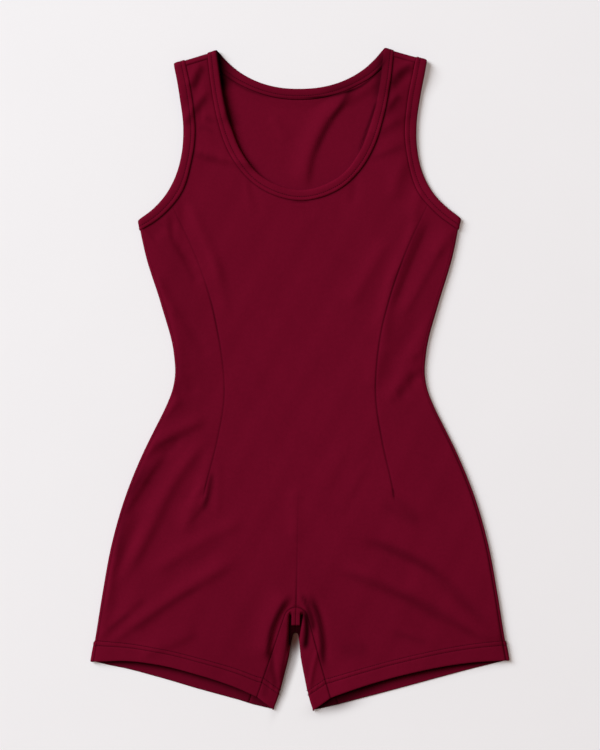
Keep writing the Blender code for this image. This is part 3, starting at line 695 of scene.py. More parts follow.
def crotch_height(points, side):
    """The same with the tongue, the slits on both of its sides and the two legs' inner folds."""
    full = base_height(points, side)
    half, y = np.abs(points[..., 0]), points[..., 1]
    slit = read(SLIT, SLIT_COLUMNS, "left" if side > 0 else "right", y)
    rise = np.clip(1 - (half - slit) / LEG_ROUND, 0, 1)
    leg = LOW_HEIGHT + (full - LOW_HEIGHT) * np.sqrt(1 - rise**2)
    tongue_top = by_height(TONGUE_HEIGHT, y)
    above = ramp(y, *TONGUE_END) * ramp(half, *TONGUE_EDGE)
    tongue = LOW_HEIGHT + (tongue_top - LOW_HEIGHT) * above
    opened = ramp(y, *SLIT_STARTS) * (1 - ramp(y, *of_side(SLIT_CLOSES, side)))
    return full + (np.maximum(leg, tongue) - full) * opened


def side_dip(height, side):
    return by_height(SIDE_DEPTH, height) * of_side(SIDE_SHARE, side)


def seam_dips(points, side):
    """How deep the front dips at its seams and edges, at plan points of the even cut."""
    points = np.stack([np.abs(points[..., 0]), points[..., 1]], axis=-1)
    y = points[..., 1]
    seams = (
        (DART.gap(points), by_height(of_side(DART_DEPTH, side), y)),
        (points[..., 0], by_height(CENTRE_DEPTH, y)),
        (NECK.gap(points), EDGE_DEPTH),
        (ARM.gap(points), EDGE_DEPTH),
        (FRONT_ARCH_LINE.off(points)[0], INSEAM_DEPTH),
        (under_shoulder(points) - SHOULDER_SEAM, SHOULDER_DEPTH),
        (inside_side(points) - SIDE_SEAM, side_dip(y, side)),
    )
    return np.maximum.reduce([depth * bell(gap, SEAM_HALF_WIDTH) for gap, depth in seams])


def towards_light(across):
    """How far plan directions point to the light, from -1 to 1."""
    return across @ np.array(TO_LIGHT) / np.maximum(np.linalg.norm(across, axis=-1), TINY)


def seam_share(lit):
    """The strength of a seam's dark line by how far its band lies towards the light."""
    return LIT_SEAM + (1 - LIT_SEAM) * (0.5 + 0.5 * lit)


def edge_shade(points, side):
    """Beside the openings: the strength of the seams' dark line, and the soft shade that the bands cast."""
    line, soft = np.ones(points.shape[:-1]), np.zeros(points.shape[:-1])
    for edge, middle in ((NECK, OPENING_MIDDLES["neck"]), (ARM, OPENING_MIDDLES["arm"])):
        gap = edge.gap(points)
        lit = towards_light(mirrored(np.array(middle) - points, side))
        line = line * (1 - bell(gap, EDGE_REACH) * (1 - seam_share(lit)))
        shaded = BAND_SHADE * np.clip(1 - BAND_SHADE_SLOPE * (1 - lit), 0, 1)
        soft = np.maximum(soft, shaded * bell(gap, BAND_SHADE_REACH))
    return line, soft


def band_nearness(points):
    """1 under the bands, falling to 0 a little way inside the panels."""
    gap = np.minimum(NAPE_OPEN.gap(points), ARM_OPEN.gap(points))
    return ramp(gap, BAND_WIDE + BAND_FADE, BAND_WIDE)


def back_height(points, side):
    """Height of the back's outer face over the table."""
    lifted = np.maximum(creased(lay(mirrored(points, side)), BACK_CREASES), 0)
    calm = np.interp(inside_side(points), BACK_CALM, (0, 1))
    return np.maximum(lifted * calm, BAND_SINK * band_nearness(points))


AWAY = {"side": (1.0, 0.0), "shoulder": (0.282, 0.959)}  # outwards from the folds, in plan


def place(points, side, turn, out=0.0, away="side", top=base_height):
    """Plan points of the even cut on the garment's outer face, in metres.

    turn is 0 on the front, pi on the back, and between them round a fold; out moves them off that face.
    """
    front = front_share(turn)
    height = np.zeros(points.shape[:-1]) + out * np.cos(turn)
    if front > 0:
        height = height + front * top(points, side)
    if front < 1:
        height = height + (1 - front) * back_height(points, side)
    moved = points + (out * np.sin(turn) * np.ones(points.shape[:-1]))[..., None] * np.array(AWAY[away])
    laid = lay(mirrored(moved, side))
    return np.concatenate([laid, height[..., None]], axis=-1) * MM


def hem_line(half, side):
    """The front hem's edge: the straight line between its ends, and how far it bows up from that."""
    across = np.clip((half - FRONT_FOOT[0]) / (HEM_CORNER[0] - SIDE_SEAM - FRONT_FOOT[0]), 0, 1)
    corners = np.array([arch(**LEG_GAP)[0], FRONT_FOOT, HEM_CORNER])
    return np.interp(half, *corners.T), of_side(HEM_BOW, side) * 4 * across * (1 - across)


def hem_bow(points, side):
    """The front hem's upward curve, fading out up the leg."""
    half, y = points[..., 0], points[..., 1]
    straight, bow = hem_line(half, side)
    fade = np.clip(1 - (y - straight) / HEM_BOW_REACH, 0, 1) ** 2
    return np.stack([half, y + bow * fade], axis=-1)


def mouth_shade(points, side):
    """The shade inside a leg's mouth, on the back where it shows under the front hem."""
    half, y = points[..., 0], points[..., 1]
    inwards = np.interp(half, MOUTH_ENDS, (1, 0)) ** MOUTH_POWER
    share, reach, rest = (outer + (inner - outer) * inwards for inner, outer in of_side(MOUTH_SHADE, side))
    under = np.maximum(sum(hem_line(half, side)) - y, 0)
    return (rest + (share - rest) * bell(under, reach)) * (y < HEM_CORNER[1] + MOUTH_SHADE_TOP)


# --------------------------------------------------------------------------------------- grids of the cut


@dataclass
class Patch:
    """A grid of points on a piece, with what each point needs besides its place."""

    points: np.ndarray  # rows by columns by 3, in metres
    cut: np.ndarray  # where each point lies on the flat cut, in metres
    dark: np.ndarray  # 0 to 1 in the seams and stitched grooves: painted shade that darkens the colour
    hemmed: bool
    flipped: bool
    soft: object = 0.0  # 0 to 1 where little light reaches


def from_ends(length, steps):
    """Distances along stretches of the given lengths, close together at both ends."""
    length = np.asarray(length, float)[:, None]
    middle = FINE[-1] + (length - 2 * FINE[-1]) * np.linspace(0, 1, steps + 1)[None, 1:-1]
    start = np.broadcast_to(FINE, (len(length), len(FINE)))
    return np.concatenate([start, middle, length - FINE[::-1]], axis=1)


def closing(start, end, steps):
    """Distances from start to end, close together at the end."""
    return np.concatenate([np.linspace(start, end - FINE[-1], steps + 1)[:-1], end - FINE[::-1]])


def even(start, end, steps):
    """Rows of points from each start to its end, evenly spaced."""
    across = np.linspace(0, 1, steps + 1)[None, :, None]
    return start[:, None, :] + across * (end - start)[:, None, :]


def spread(start, end, steps):
    """Rows of points from each start to its end, close together at both, and their shares of the way."""
    length = np.linalg.norm(end - start, axis=1)
    share = from_ends(length, steps) / length[:, None]
    return start[:, None, :] + share[..., None] * (end - start)[:, None, :], share


def rows_up(edge, crotch, end):
    """Points on a long edge at every row: the hem's, the leg's, and those of the body up to the underarm."""
    crotch_at = edge.where(height_of, crotch)
    low = np.linspace(HEM_STATIONS[-1], crotch_at, LEG_ROWS + ARCH_ROWS + 1)[1:]
    high = closing(crotch_at, end, BODY_ROWS)[1:]
    return edge.at(np.concatenate([HEM_STATIONS, low, high]))


BODY_LEVELS = BODY_ROWS + len(FINE) - 1


def side_rows(inset):
    """Points inside the side fold at every row, up to the armhole's edge."""
    heights = np.linspace(HEM_CORNER[1], UNDERARM, SIDE_SAMPLES)
    edge = Edge(np.stack([side_half(heights), heights], axis=1))
    rows = rows_up(edge, SIDE_CROTCH, edge.along[-1])
    top = ARM.at(ARM.where(inside_side, inset))
    rows[:, 0] -= inset
    rows[:, 1] += (top[1] - rows[-1, 1]) * np.linspace(0, 1, len(rows)) ** 2
    rows[-1] = top
    return rows


def hem_out(points):
    """What the hem's section and its puckers add to the face, for a grid whose first rows are the hem's."""
    out = np.zeros(points.shape[:-1])
    for row, (station, high) in enumerate(HEM_PROFILE):
        x = points[row, :, 0]
        wave = np.sin(2 * math.pi * x / PUCKER_LONG + PUCKER_TURN * np.sin(x / PUCKER_EVERY))
        out[row] = high + PUCKER_HIGH * wave * bell(station - PUCKER_AT, PUCKER_REACH)
    return out


def hem_round(points, turn):
    """The same part way round a fold. On the back, only the dips of the hem's section show."""
    hem, share = hem_out(points), front_share(turn)
    return share * hem + (1 - share) * np.minimum(hem - HEM_SITS, 0)


def hem_dark(shape):
    """The shade in the hem's two stitched grooves."""
    dark = np.zeros(shape)
    dark[[HEM_STATIONS.index(station) for station in HEM_STITCHES]] = HEM_STITCH_DARK
    return dark


def inner_rows(arches, neck, rows):
    """Points from a leg's foot up the inner-leg seam, up the middle line and along the neck's edge."""
    heights = np.linspace(arches[-1, 1], neck[0, 1], rows + 2)[1:-1]
    return np.concatenate([arches, np.stack([np.zeros_like(heights), heights], axis=1), neck])


def front_patches():
    """The front: on each side from the middle to the princess seam and strap, and from there to the side."""
    neck = NECK.at(closing(0, NECK.where(under_shoulder, SHOULDER_SEAM), STRAP_ROWS))
    inner = inner_rows(arch(**FRONT_ARCH), neck, BODY_LEVELS - 1)
    dart_at = ARM.nearest(DART_TOP)
    strap = ARM.at(closing(dart_at, ARM.where(under_shoulder, SHOULDER_SEAM), STRAP_ROWS))
    dart = rows_up(DART, DART_CROTCH, DART.along[-1])
    dart[-1] = strap[0]
    centre_grid, _ = spread(inner, np.concatenate([dart, strap[1:]]), CENTRE_COLUMNS)

    side_grid, shares = spread(dart, side_rows(SIDE_SEAM), SIDE_PANEL_COLUMNS)
    under = ARM.where(inside_side, SIDE_SEAM)
    bend = ARM.at(dart_at + shares[-1] * (under - dart_at)) - side_grid[-1]
    side_grid += bend * np.linspace(0, 1, len(dart))[:, None, None] ** BEND_POWER

    for side in SIDES.values():
        for grid in (hem_bow(centre_grid, side), hem_bow(side_grid, side)):
            dips = seam_dips(grid, side) * bpy.context.scene.bodysuit_cloth.seam_share
            points = place(grid, side, 0.0, hem_out(grid) - dips)
            line, soft = edge_shade(grid, side)
            dark = np.maximum(hem_dark(dips.shape), np.clip(dips / EDGE_DEPTH, 0, 1) * line)
            yield Patch(points, mirrored(grid, side) * MM, dark, True, side < 0, soft)


def rolled_edge(radius, seam):
    """(distance inside the fold line, turn) across a rolled edge, from the flat back to the front's seam."""
    turns = (math.pi, *FOLD_TURNS[::-1], 0.0)
    return [*((radius * (1 - math.sin(turn)), turn) for turn in turns), (seam, 0.0)]


def back_patches():
    """The back: its flat part, and the rolled sides and shoulders that carry it on to the front."""
    radius, strap_radius = FOLD_RADIUS["side"], FOLD_RADIUS["strap"]
    arches = arch(**BACK_ARCH)
    nape = NAPE.at(closing(0, NAPE.where(under_shoulder, strap_radius), NAPE_ROWS))
    arm_ends = ARM.where(inside_side, radius), ARM.where(under_shoulder, strap_radius)
    arm = ARM.at(closing(*arm_ends, BACK_UNDERARM_ROWS + STRAP_ROWS))
    beside = side_rows(radius)
    outer = np.concatenate([beside, arm[1:]])
    flat = even(inner_rows(arches, nape, len(outer) - len(arches) - len(nape)), outer, BACK_COLUMNS)
    dark = hem_dark(flat.shape[:2])
    hemmed_rows = np.arange(len(beside)) <= HEM_END_ROW
    for side in SIDES.values():
        points = place(flat, side, math.pi, hem_round(flat, math.pi))
        yield Patch(points, mirrored(flat, side) * MM, dark, True, side > 0, mouth_shade(flat, side))

        columns = []
        for inset, turn in rolled_edge(radius, SIDE_SEAM):
            rows = side_rows(inset)
            dip = side_dip(rows[:, 1], side) * bell(SIDE_SEAM - inset, 1) * (turn == 0)
            out = hem_round(rows[:, None], turn)[:, 0] + HEM_STANDS_OUT * hemmed_rows * math.sin(turn) - dip
            onward = np.array([radius * (math.pi - turn) + inset - radius, 0])
            cut = mirrored(rows + onward, side) * MM
            columns.append((place(rows, side, turn, out), cut, dip / EDGE_DEPTH))
        points, cut, shades = (np.stack(part, axis=1) for part in zip(*columns))
        yield Patch(points, cut, np.maximum(shades, hem_dark(shades.shape)), True, side > 0)

        rows = []
        for inset, turn in rolled_edge(strap_radius, SHOULDER_SEAM):
            neck = NAPE if turn > math.pi / 2 else NECK
            ends = [edge.at(edge.where(under_shoulder, inset))[None] for edge in (neck, ARM)]
            line = even(*ends, BACK_COLUMNS)[0]
            dip = SHOULDER_DEPTH * bell(SHOULDER_SEAM - inset, 1) * (turn == 0)
            onward = np.array([0, strap_radius * (math.pi - turn) + inset - strap_radius])
            cut, shade = mirrored(line + onward, side) * MM, np.full(len(line), dip / EDGE_DEPTH)
            rows.append((place(line, side, turn, -dip, "shoulder"), cut, shade))
        points, cut, shades = (np.stack(part) for part in zip(*rows))
        yield Patch(points, cut, shades, False, side > 0)


def gusset_patch(side):
    """An inner-leg piece, from the front inseam over the leg's inner fold to the back inseam."""
    counts = {"leg_rows": GUSSET_LEG_ROWS, "arch_rows": GUSSET_ARCH_ROWS}
    front, back, fold = (arch(**line, **counts) for line in (FRONT_ARCH, BACK_ARCH, LEG_GAP))
    fold[:, 0] -= by_height(LEG_TRIM, fold[:, 1])
    radius = crotch_height(fold, side) / 2

    def rolled(seam, turn):
        reach = seam - fold
        inwards = reach / np.linalg.norm(reach, axis=1)[:, None]
        return fold + inwards * (radius * (1 - math.sin(turn)))[:, None]

    flat_front = even(front, rolled(front, 0.0), GUSSET_FRONT_COLUMNS).swapaxes(0, 1)
    flat_back = even(rolled(back, math.pi), back, GUSSET_BACK_COLUMNS).swapaxes(0, 1)
    columns = [(points, 0.0) for points in flat_front]
    columns += [(rolled(back if turn > math.pi / 2 else front, turn), turn) for turn in FOLD_TURNS]
    columns += [(points, math.pi) for points in flat_back]

    placed, shades, softs = [], [], []
    for points, turn in columns:
        y = points[:, 1]
        dip = INSEAM_DEPTH * bell(np.linalg.norm(points - front, axis=1), SEAM_HALF_WIDTH) * (turn == 0)
        middle = CROTCH_SEAM * bell(points[:, 0], CROTCH_SEAM_WIDE) * (turn == 0)
        out = hem_round(points[:, None], turn)[:, 0] - np.maximum(dip, middle)
        placed.append(place(points, side, turn, out, top=crotch_height))
        shades.append(np.maximum(dip / INSEAM_DEPTH, middle))
        low = SLIT_SHADE * ramp(crotch_height(points, side), SHADE_HIGH, SHADE_LOW)
        low = low * ramp(y, *SLIT_SHADE_TOP) * ramp(y, *SLIT_SHADE_END)
        softs.append(np.maximum(low, mouth_shade(points, side) * (turn == math.pi)))
    placed, shades, softs = (np.stack(part, axis=1) for part in (placed, shades, softs))
    across = np.stack([along_points(row) for row in placed])
    cut = mirrored(np.stack([-across, np.broadcast_to(placed[:, :1, 1], across.shape)], axis=-1), side)
    return Patch(placed, cut, np.maximum(shades, hem_dark(shades.shape)), True, side > 0, softs)


def band_patch(rows, flipped):
    """A closed band from its rows of points across the section."""
    points, stations = np.stack(rows), SECTION[:, 0]
    along = along_points(points[:, list(stations).index(BAND_STITCH)])
    cut = np.stack(np.broadcast_arrays(along[:, None], along_points(SECTION) * MM), axis=-1)
    # Painted shade in the stitched groove and along the seam, strongest where the band stands between the
    # seam and the light
    stitched_dark = STITCH_DARK * bell(stations - BAND_STITCH, STITCH_DARK_WIDE)
    dark = np.maximum(stitched_dark, stations <= BAND_EDGE_DARK)
    lit = towards_light(points[:, int(np.argmax(stations)), :2] - points[:, 0, :2])
    return Patch(points, cut, dark * seam_share(lit)[:, None], False, flipped)


def across_band(panel, opened, side, turn, away):
    """The band's section between points on the panel's edge and those on its open edge."""
    share = (SECTION[:, 0] / BAND_WIDE)[:, None]
    points = panel[..., None, :] + share * (opened - panel)[..., None, :]
    return place(points, side, turn, np.broadcast_to(SECTION[:, 1], points.shape[:-1]), away)


def along_band(edges, spans, steps, side, turn, away):
    """Sections along a stretch that lies flat, given the two edges and where each starts and ends."""
    ends = (edge.at(np.linspace(*span, steps + 1)) for edge, span in zip(edges, spans))
    return list(across_band(*ends, side, turn, away))


def round_fold(edges_at, distance, radius, side, away):
    """Sections round a fold, from the front to the back."""
    for turn in FOLD_TURNS:
        inset = radius * (1 - math.sin(turn))
        ends = (edge.at(edge.where(distance, inset)) for edge in edges_at(turn))
        yield across_band(*ends, side, turn, away)


def neck_rows(side):
    """Half of the neck band, from the front's middle over the shoulder to the back's middle."""
    fronts, backs, radius = (NECK, NECK_OPEN), (NAPE, NAPE_OPEN), FOLD_RADIUS["strap"]
    spans = [(0, edge.where(under_shoulder, radius)) for edge in fronts]
    rows = along_band(fronts, spans, BAND_FRONT_ROWS, side, 0.0, "shoulder")
    rows += round_fold(
        lambda turn: backs if turn > math.pi / 2 else fronts, under_shoulder, radius, side, "shoulder"
    )
    spans = [(edge.where(under_shoulder, radius), 0) for edge in backs]
    return rows + along_band(backs, spans, BAND_BACK_ROWS, side, math.pi, "shoulder")


def arm_rows(side):
    """A whole armhole band: down the front, over the side fold, up the back and over the shoulder."""
    edges = (ARM, ARM_OPEN)
    darts = [edge.nearest(DART_TOP) for edge in edges]
    unders = [edge.where(inside_side, FOLD_RADIUS["side"]) for edge in edges]
    tops = [edge.where(under_shoulder, FOLD_RADIUS["strap"]) for edge in edges]
    low, high = list(zip(unders, darts)), list(zip(darts, tops))
    rows = along_band(edges, [span[::-1] for span in high], BAND_FRONT_ROWS, side, 0.0, "side")
    rows += along_band(edges, [span[::-1] for span in low], BAND_UNDERARM_ROWS, side, 0.0, "side")[1:]
    rows += round_fold(lambda turn: edges, inside_side, FOLD_RADIUS["side"], side, "side")
    rows += along_band(edges, low, BAND_UNDERARM_ROWS, side, math.pi, "side")
    rows += along_band(edges, high, BAND_FRONT_ROWS, side, math.pi, "side")[1:]
    over = list(round_fold(lambda turn: edges, under_shoulder, FOLD_RADIUS["strap"], side, "shoulder"))
    return rows + over[::-1]


# --------------------------------------------------------------------------------------- meshes of cloth


def sew(name, patches, look, closed=False):
    """A mesh object from patches, joined where their edges meet."""
    parts = []
    count = 0
    for patch in patches:
        rows, columns = patch.points.shape[:2]
        number = count + np.arange(rows * columns).reshape(rows, columns)
        count += rows * columns
        if closed:
            number = np.concatenate([number, number[:1]])
        low, high = number[:-1], number[1:]
        quads = np.stack([low[:, :-1], low[:, 1:], high[:, 1:], high[:, :-1]], axis=-1).reshape(-1, 4)
        quads = quads[:, ::-1] if patch.flipped else quads
        hem = np.zeros((rows, columns))
        if patch.hemmed:
            hem[: HEM_END_ROW + 1] = 1.0
            hem[HEM_END_ROW + 1] = 0.5
        soft = patch.soft + np.zeros((rows, columns))
        flat = (patch.dark.ravel(), soft.ravel(), hem.ravel())
        parts.append((patch.points.reshape(-1, 3), quads, patch.cut.reshape(-1, 2), *flat))
    verts, faces, cuts, darks, softs, hems = (np.concatenate(part) for part in zip(*parts))
    mesh = bpy.data.meshes.new(name)
    mesh.from_pydata(verts, [], faces)
    corners = np.zeros(len(mesh.loops), np.int32)
    mesh.loops.foreach_get("vertex_index", corners)
    mesh.uv_layers.new(name="cut").data.foreach_set("uv", cuts[corners].astype(np.float32).ravel())
    # Painted shade, kept as attributes that darken the colour: seam for the seams' dark lines, soft for the
    # soft shade with the SHADES table's
    soft = np.clip(softs + creased(verts[:, :2] / MM, SHADES), 0, 1)
    for key, values in (("seam", darks), ("soft", soft)):
        mesh.attributes.new(key, "FLOAT", "POINT").data.foreach_set("value", values.astype(np.float32))
    piece = bpy.data.objects.new(name, mesh)
    bpy.context.scene.collection.objects.link(piece)
    group = piece.vertex_groups.new(name="hem")
    for weight in (0.5, 1.0):
        group.add(np.flatnonzero(hems == weight).tolist(), weight, "REPLACE")
    bm = bmesh.new()
    bm.from_mesh(mesh)
    bmesh.ops.remove_doubles(bm, verts=bm.verts, dist=WELD)
    bm.to_mesh(mesh)
    bm.free()
    mesh.materials.append(bpy.data.materials[look])
    mesh.shade_smooth()
    return piece


def thicken(piece, wall, hem_wall=None):
    """Solidify inwards from the outer face; with a hem, its two layers are thicker than the rest."""
    bpy.ops.object.select_all(action="DESELECT")
    bpy.context.view_layer.objects.active = piece
    piece.select_set(True)
    layer = piece.modifiers.new("wall", "SOLIDIFY")
    layer.thickness = hem_wall or wall
    layer.offset = -1.0
    layer.use_even_offset = False
    if hem_wall:
        layer.vertex_group = "hem"
        layer.thickness_vertex_group = wall / hem_wall
    bpy.ops.object.modifier_apply(modifier=layer.name)


def laid_area(patches):
    """Area of the outer faces of patches as they lie, in square metres."""
    total = 0.0
    for patch in patches:
        corner = patch.points[:-1, :-1]
        across, up = patch.points[:-1, 1:] - corner, patch.points[1:, :-1] - corner
        total += np.linalg.norm(np.cross(across, up), axis=-1).sum()
    return float(total)


def declare(piece, nodes, area, rests_on):
    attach(piece, "root")
    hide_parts(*nodes)
    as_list(rests_on)


# ------------------------------------------------------------------------------------------- stitching


# A stitch: its sides, the share of its length that is its middle, how much thinner each side of its ends is
# and how far those dip, as shares of its thickness, and how high it stands out of the cloth
STITCH_SIDES = 6
STITCH_MIDDLE = 0.5
STITCH_TAPER, STITCH_DIP = 0.22, 0.4
STITCH_PROUD = 0.2


def stitch_shape(length, thickness):
    """One stitch lying along X, modelled once: a short thread, full in the middle, that dips at its ends."""
    bpy.ops.mesh.primitive_cylinder_add(vertices=STITCH_SIDES, radius=thickness / 2,
                                        depth=length * STITCH_MIDDLE, rotation=(0, math.pi / 2, 0))
    piece = bpy.context.active_object
    bpy.ops.object.transform_apply(location=True, rotation=True, scale=True)
    bpy.ops.object.mode_set(mode="EDIT")
    bpy.ops.mesh.select_mode(type="FACE")
    bpy.ops.mesh.select_all(action="DESELECT")
    bpy.ops.object.mode_set(mode="OBJECT")
    for face in piece.data.polygons:
        face.select = abs(face.normal.x) > 0.9
    bpy.ops.object.mode_set(mode="EDIT")
    end = length * (1 - STITCH_MIDDLE) / 2
    bpy.ops.mesh.inset(thickness=thickness * STITCH_TAPER, depth=end, use_individual=True)
    bpy.ops.object.mode_set(mode="OBJECT")
    verts = np.array([vert.co for vert in piece.data.vertices])
    faces = [list(face.vertices) for face in piece.data.polygons]
    bpy.data.objects.remove(piece)
    ends = np.abs(verts[:, 0]) > length / 2 - end / 2
    verts[ends, 2] -= thickness * STITCH_DIP
    return verts, faces


def unit(vectors):
    return vectors / np.linalg.norm(vectors, axis=-1)[..., None]


def outward(grid, flipped):
    """Outward normals of a grid of points."""
    up, across = np.gradient(grid, axis=0), np.gradient(grid, axis=1)
    return unit(np.cross(across, up) * (-1 if flipped else 1))


def stitched(name, lines):
    """One piece of all the stitches along lines of (points, normals)."""
    sizes = bpy.context.scene.bodysuit_stitches
    shape, faces = stitch_shape(sizes.length, sizes.thickness)
    all_verts, all_faces = [], []
    for points, normals in lines:
        along = along_points(points)
        number = round(along[-1] / sizes.pitch)
        places = (np.arange(number) + 0.5) * along[-1] / number

        def at(lengths, values):
            return np.stack([np.interp(lengths, along, values[:, k]) for k in range(3)], axis=1)

        half = sizes.length / 2
        ahead = unit(at(places + half, points) - at(places - half, points))
        upward = at(places, normals)
        upward = unit(upward - (upward * ahead).sum(1)[:, None] * ahead)
        centres = at(places, points) + upward * sizes.thickness * STITCH_PROUD
        for centre, *axes in zip(centres, ahead, np.cross(upward, ahead), upward):
            first = len(all_verts) * len(shape)
            all_verts.append(centre + shape @ np.stack(axes))
            all_faces += [[first + k for k in face] for face in faces]
    mesh = bpy.data.meshes.new(name)
    mesh.from_pydata(np.concatenate(all_verts), [], all_faces)
    mesh.materials.append(bpy.data.materials["stitching"])
    mesh.shade_smooth()
    piece = bpy.data.objects.new(name, mesh)
    bpy.context.scene.collection.objects.link(piece)
    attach(piece, "root")
    return piece


def hem_lines(patches):
    for patch in patches:
        if patch.hemmed:
            normals = outward(patch.points, patch.flipped)
            for row in (HEM_STATIONS.index(station) for station in HEM_STITCHES):
                yield patch.points[row], normals[row]


def band_lines(patch):
    """The band's stitches on both of its faces, each a closed line."""
    ring = np.concatenate([patch.points[-1:], patch.points, patch.points[:1]])
    normals = outward(ring, patch.flipped)
    normals[-1] = normals[1]
    for column in np.flatnonzero(SECTION[:, 0] == BAND_STITCH):
        yield ring[1:, column], normals[1:, column]


# -------------------------------------------------------------------------------------------- materials


class Socket:
    """A number in a material's nodes. Arithmetic on it adds Math nodes."""

    def __init__(self, finish, link):
        self.finish, self.link = finish, link

    def __add__(self, other):
        return self.finish.maths("ADD", self, other)

    def __sub__(self, other):
        return self.finish.maths("SUBTRACT", self, other)

    def __rsub__(self, other):
        return self.finish.maths("SUBTRACT", other, self)

    def __mul__(self, other):
        return self.finish.maths("MULTIPLY", self, other)

    def __truediv__(self, other):
        return self.finish.maths("DIVIDE", self, other)

    def __abs__(self):
        return self.finish.maths("ABSOLUTE", self)

    def __pow__(self, other):
        return self.finish.maths("POWER", self, other)

    __radd__, __rmul__ = __add__, __mul__


class Finish:
    """A material and its nodes."""

    def __init__(self, name, **constants):
        self.material = bpy.data.materials.new(name)
        self.material.use_nodes = True
        self.tree = self.material.node_tree
        self.shader = self.tree.nodes["Principled BSDF"]
        for key, value in constants.items():
            self.shader.inputs[key.replace("_", " ").title().replace("Ior", "IOR")].default_value = value

    def node(self, kind, settings, inputs, output=0):
        """One output of a new node of a type, with its settings and the values or links of its inputs."""
        made = self.tree.nodes.new(kind)
        for key, value in settings.items():
            setattr(made, key, value)
        for key, value in inputs.items():
            if isinstance(value, Socket):
                self.tree.links.new(value.link, made.inputs[key])
            else:
                made.inputs[key].default_value = value
        return Socket(self, made.outputs[output])

    def feed(self, name, value):
        self.tree.links.new(value.link, self.shader.inputs[name])

    def maths(self, operation, *values):
        return self.node("ShaderNodeMath", {"operation": operation}, dict(enumerate(values)))

    def places(self):
        return self.node("ShaderNodeTexCoord", {}, {}, "Object")

    def attribute(self, name):
        return self.node("ShaderNodeAttribute", {"attribute_name": name}, {}, "Fac")

    def across_and_up(self, vector):
        """A vector's X and Y."""
        across = self.node("ShaderNodeSeparateXYZ", {}, {"Vector": vector}, "X")
        return across, Socket(self, across.link.node.outputs["Y"])

    def mixed(self, share, first, second):
        """A colour between two, by a share."""
        colours = {"Factor": share, 6: first, 7: second}
        return self.node("ShaderNodeMix", {"data_type": "RGBA"}, colours, 2)

    def noise(self, where, scale, detail=2.0, roughness=0.5):
        values = {"Vector": where, "Scale": scale, "Detail": detail, "Roughness": roughness}
        return self.node("ShaderNodeTexNoise", {}, values)

    def bumped(self, height, strength, distance):
        values = {"Height": height, "Strength": strength, "Distance": distance}
        return self.node("ShaderNodeBump", {}, values)


def shade(colour, share):
    return tuple(min(value * share, 1.0) for value in colour) + (1.0,)


WALE, COURSE = 0.0011, 0.0009  # from one column of loops to the next, and from one row of them
LOOP_LEAN = 1.2  # how far a loop's sides run up it, in rows
GRAIN, MOTTLE, SLOW_TONE = 950.0, 300.0, 21.0  # the unevenness, from fine to wide, as noise scales
SEAM_SHADE_SHARE, SEAM_SHADE_TONE = 0.55, 0.30  # how much of the colour turns dark in a seam, and how dark that is: painted shade
SOFT_TONE = 0.10  # how dark full soft shade is


def knit_finish(name, colour):
    """Fine jersey: columns of loops, an uneven grain, a slow change of tone, and shade in seams and folds."""
    made = Finish(name, roughness=0.85, specular_ior_level=0.01, sheen_weight=0.04, sheen_roughness=0.5,
                  sheen_tint=shade(colour, 3.0))
    where = made.places()
    across, up = made.across_and_up(made.node("ShaderNodeUVMap", {"uv_map": "cut"}, {}))
    centre = abs(made.maths("FRACT", across / WALE) - 0.5)
    loops = made.maths("SINE", (up / COURSE + centre * LOOP_LEAN) * (2 * math.pi)) * 0.5 + 0.5
    columns = 1 - (centre * 2) ** 3
    grained = made.noise(where, GRAIN, detail=3.0, roughness=0.65)
    mottled = made.noise(where, MOTTLE, detail=3.0, roughness=0.6)
    slow = made.noise(where, SLOW_TONE)
    tone = made.mixed(grained * 0.6 + mottled * 0.8 - 0.2, shade(colour, 0.80), shade(colour, 1.20))
    tone = made.mixed(slow * 0.5, tone, shade(colour, 1.14))
    # Painted shade from the seam and soft attributes
    tone = made.mixed(made.attribute("seam") * SEAM_SHADE_SHARE, tone, shade(colour, SEAM_SHADE_TONE))
    tone = made.mixed(made.attribute("soft"), tone, shade(colour, SOFT_TONE))
    made.feed("Base Color", tone)
    made.feed("Roughness", grained * 0.15 + 0.76)
    height = loops * columns * 0.5 + grained * 0.9
    made.feed("Normal", made.bumped(height, strength=0.35, distance=0.00016))
    return made.material


FIBRES = 3200.0  # as a noise scale


def thread_finish(name, colour):
    """Matte thread with fine fibres."""
    made = Finish(name, roughness=0.7, specular_ior_level=0.03)
    fibres = made.noise(made.places(), FIBRES)
    made.feed("Base Color", made.mixed(fibres, shade(colour, 0.7), shade(colour, 1.1)))
    made.feed("Normal", made.bumped(fibres, strength=0.4, distance=0.00008))
    return made.material


FLOOR_PAINTED_LIGHT = 0.2  # painted light: the share of the floor's brightness that it gives off itself, which shade doesn't take away
FLOOR_PAINTED_LIGHT_TONE = (0.885, 0.855, 0.863, 1.0)
FLOOR_PAINTED_SHADOW_TONE = (0.06, 0.016, 0.009, 1.0)
FLOOR_CLOUDS, FLOOR_GRAIN = 6.0, 420.0  # as noise scales
# Painted shadow on the floor, between the legs and under a hem: its middle and half length and width in
# metres, how its length is turned in degrees, its share and how sharp its edge is
FLOOR_PAINTED_SHADOWS = (
    (-0.0065, -0.302, 0.0245, 0.0098, 79, 0.98, 2),
    (-0.0125, -0.335, 0.055, 0.0085, 73, 0.5, 2),
    (0.0446, -0.3835, 0.024, 0.0085, 15, 0.6, 1),
)


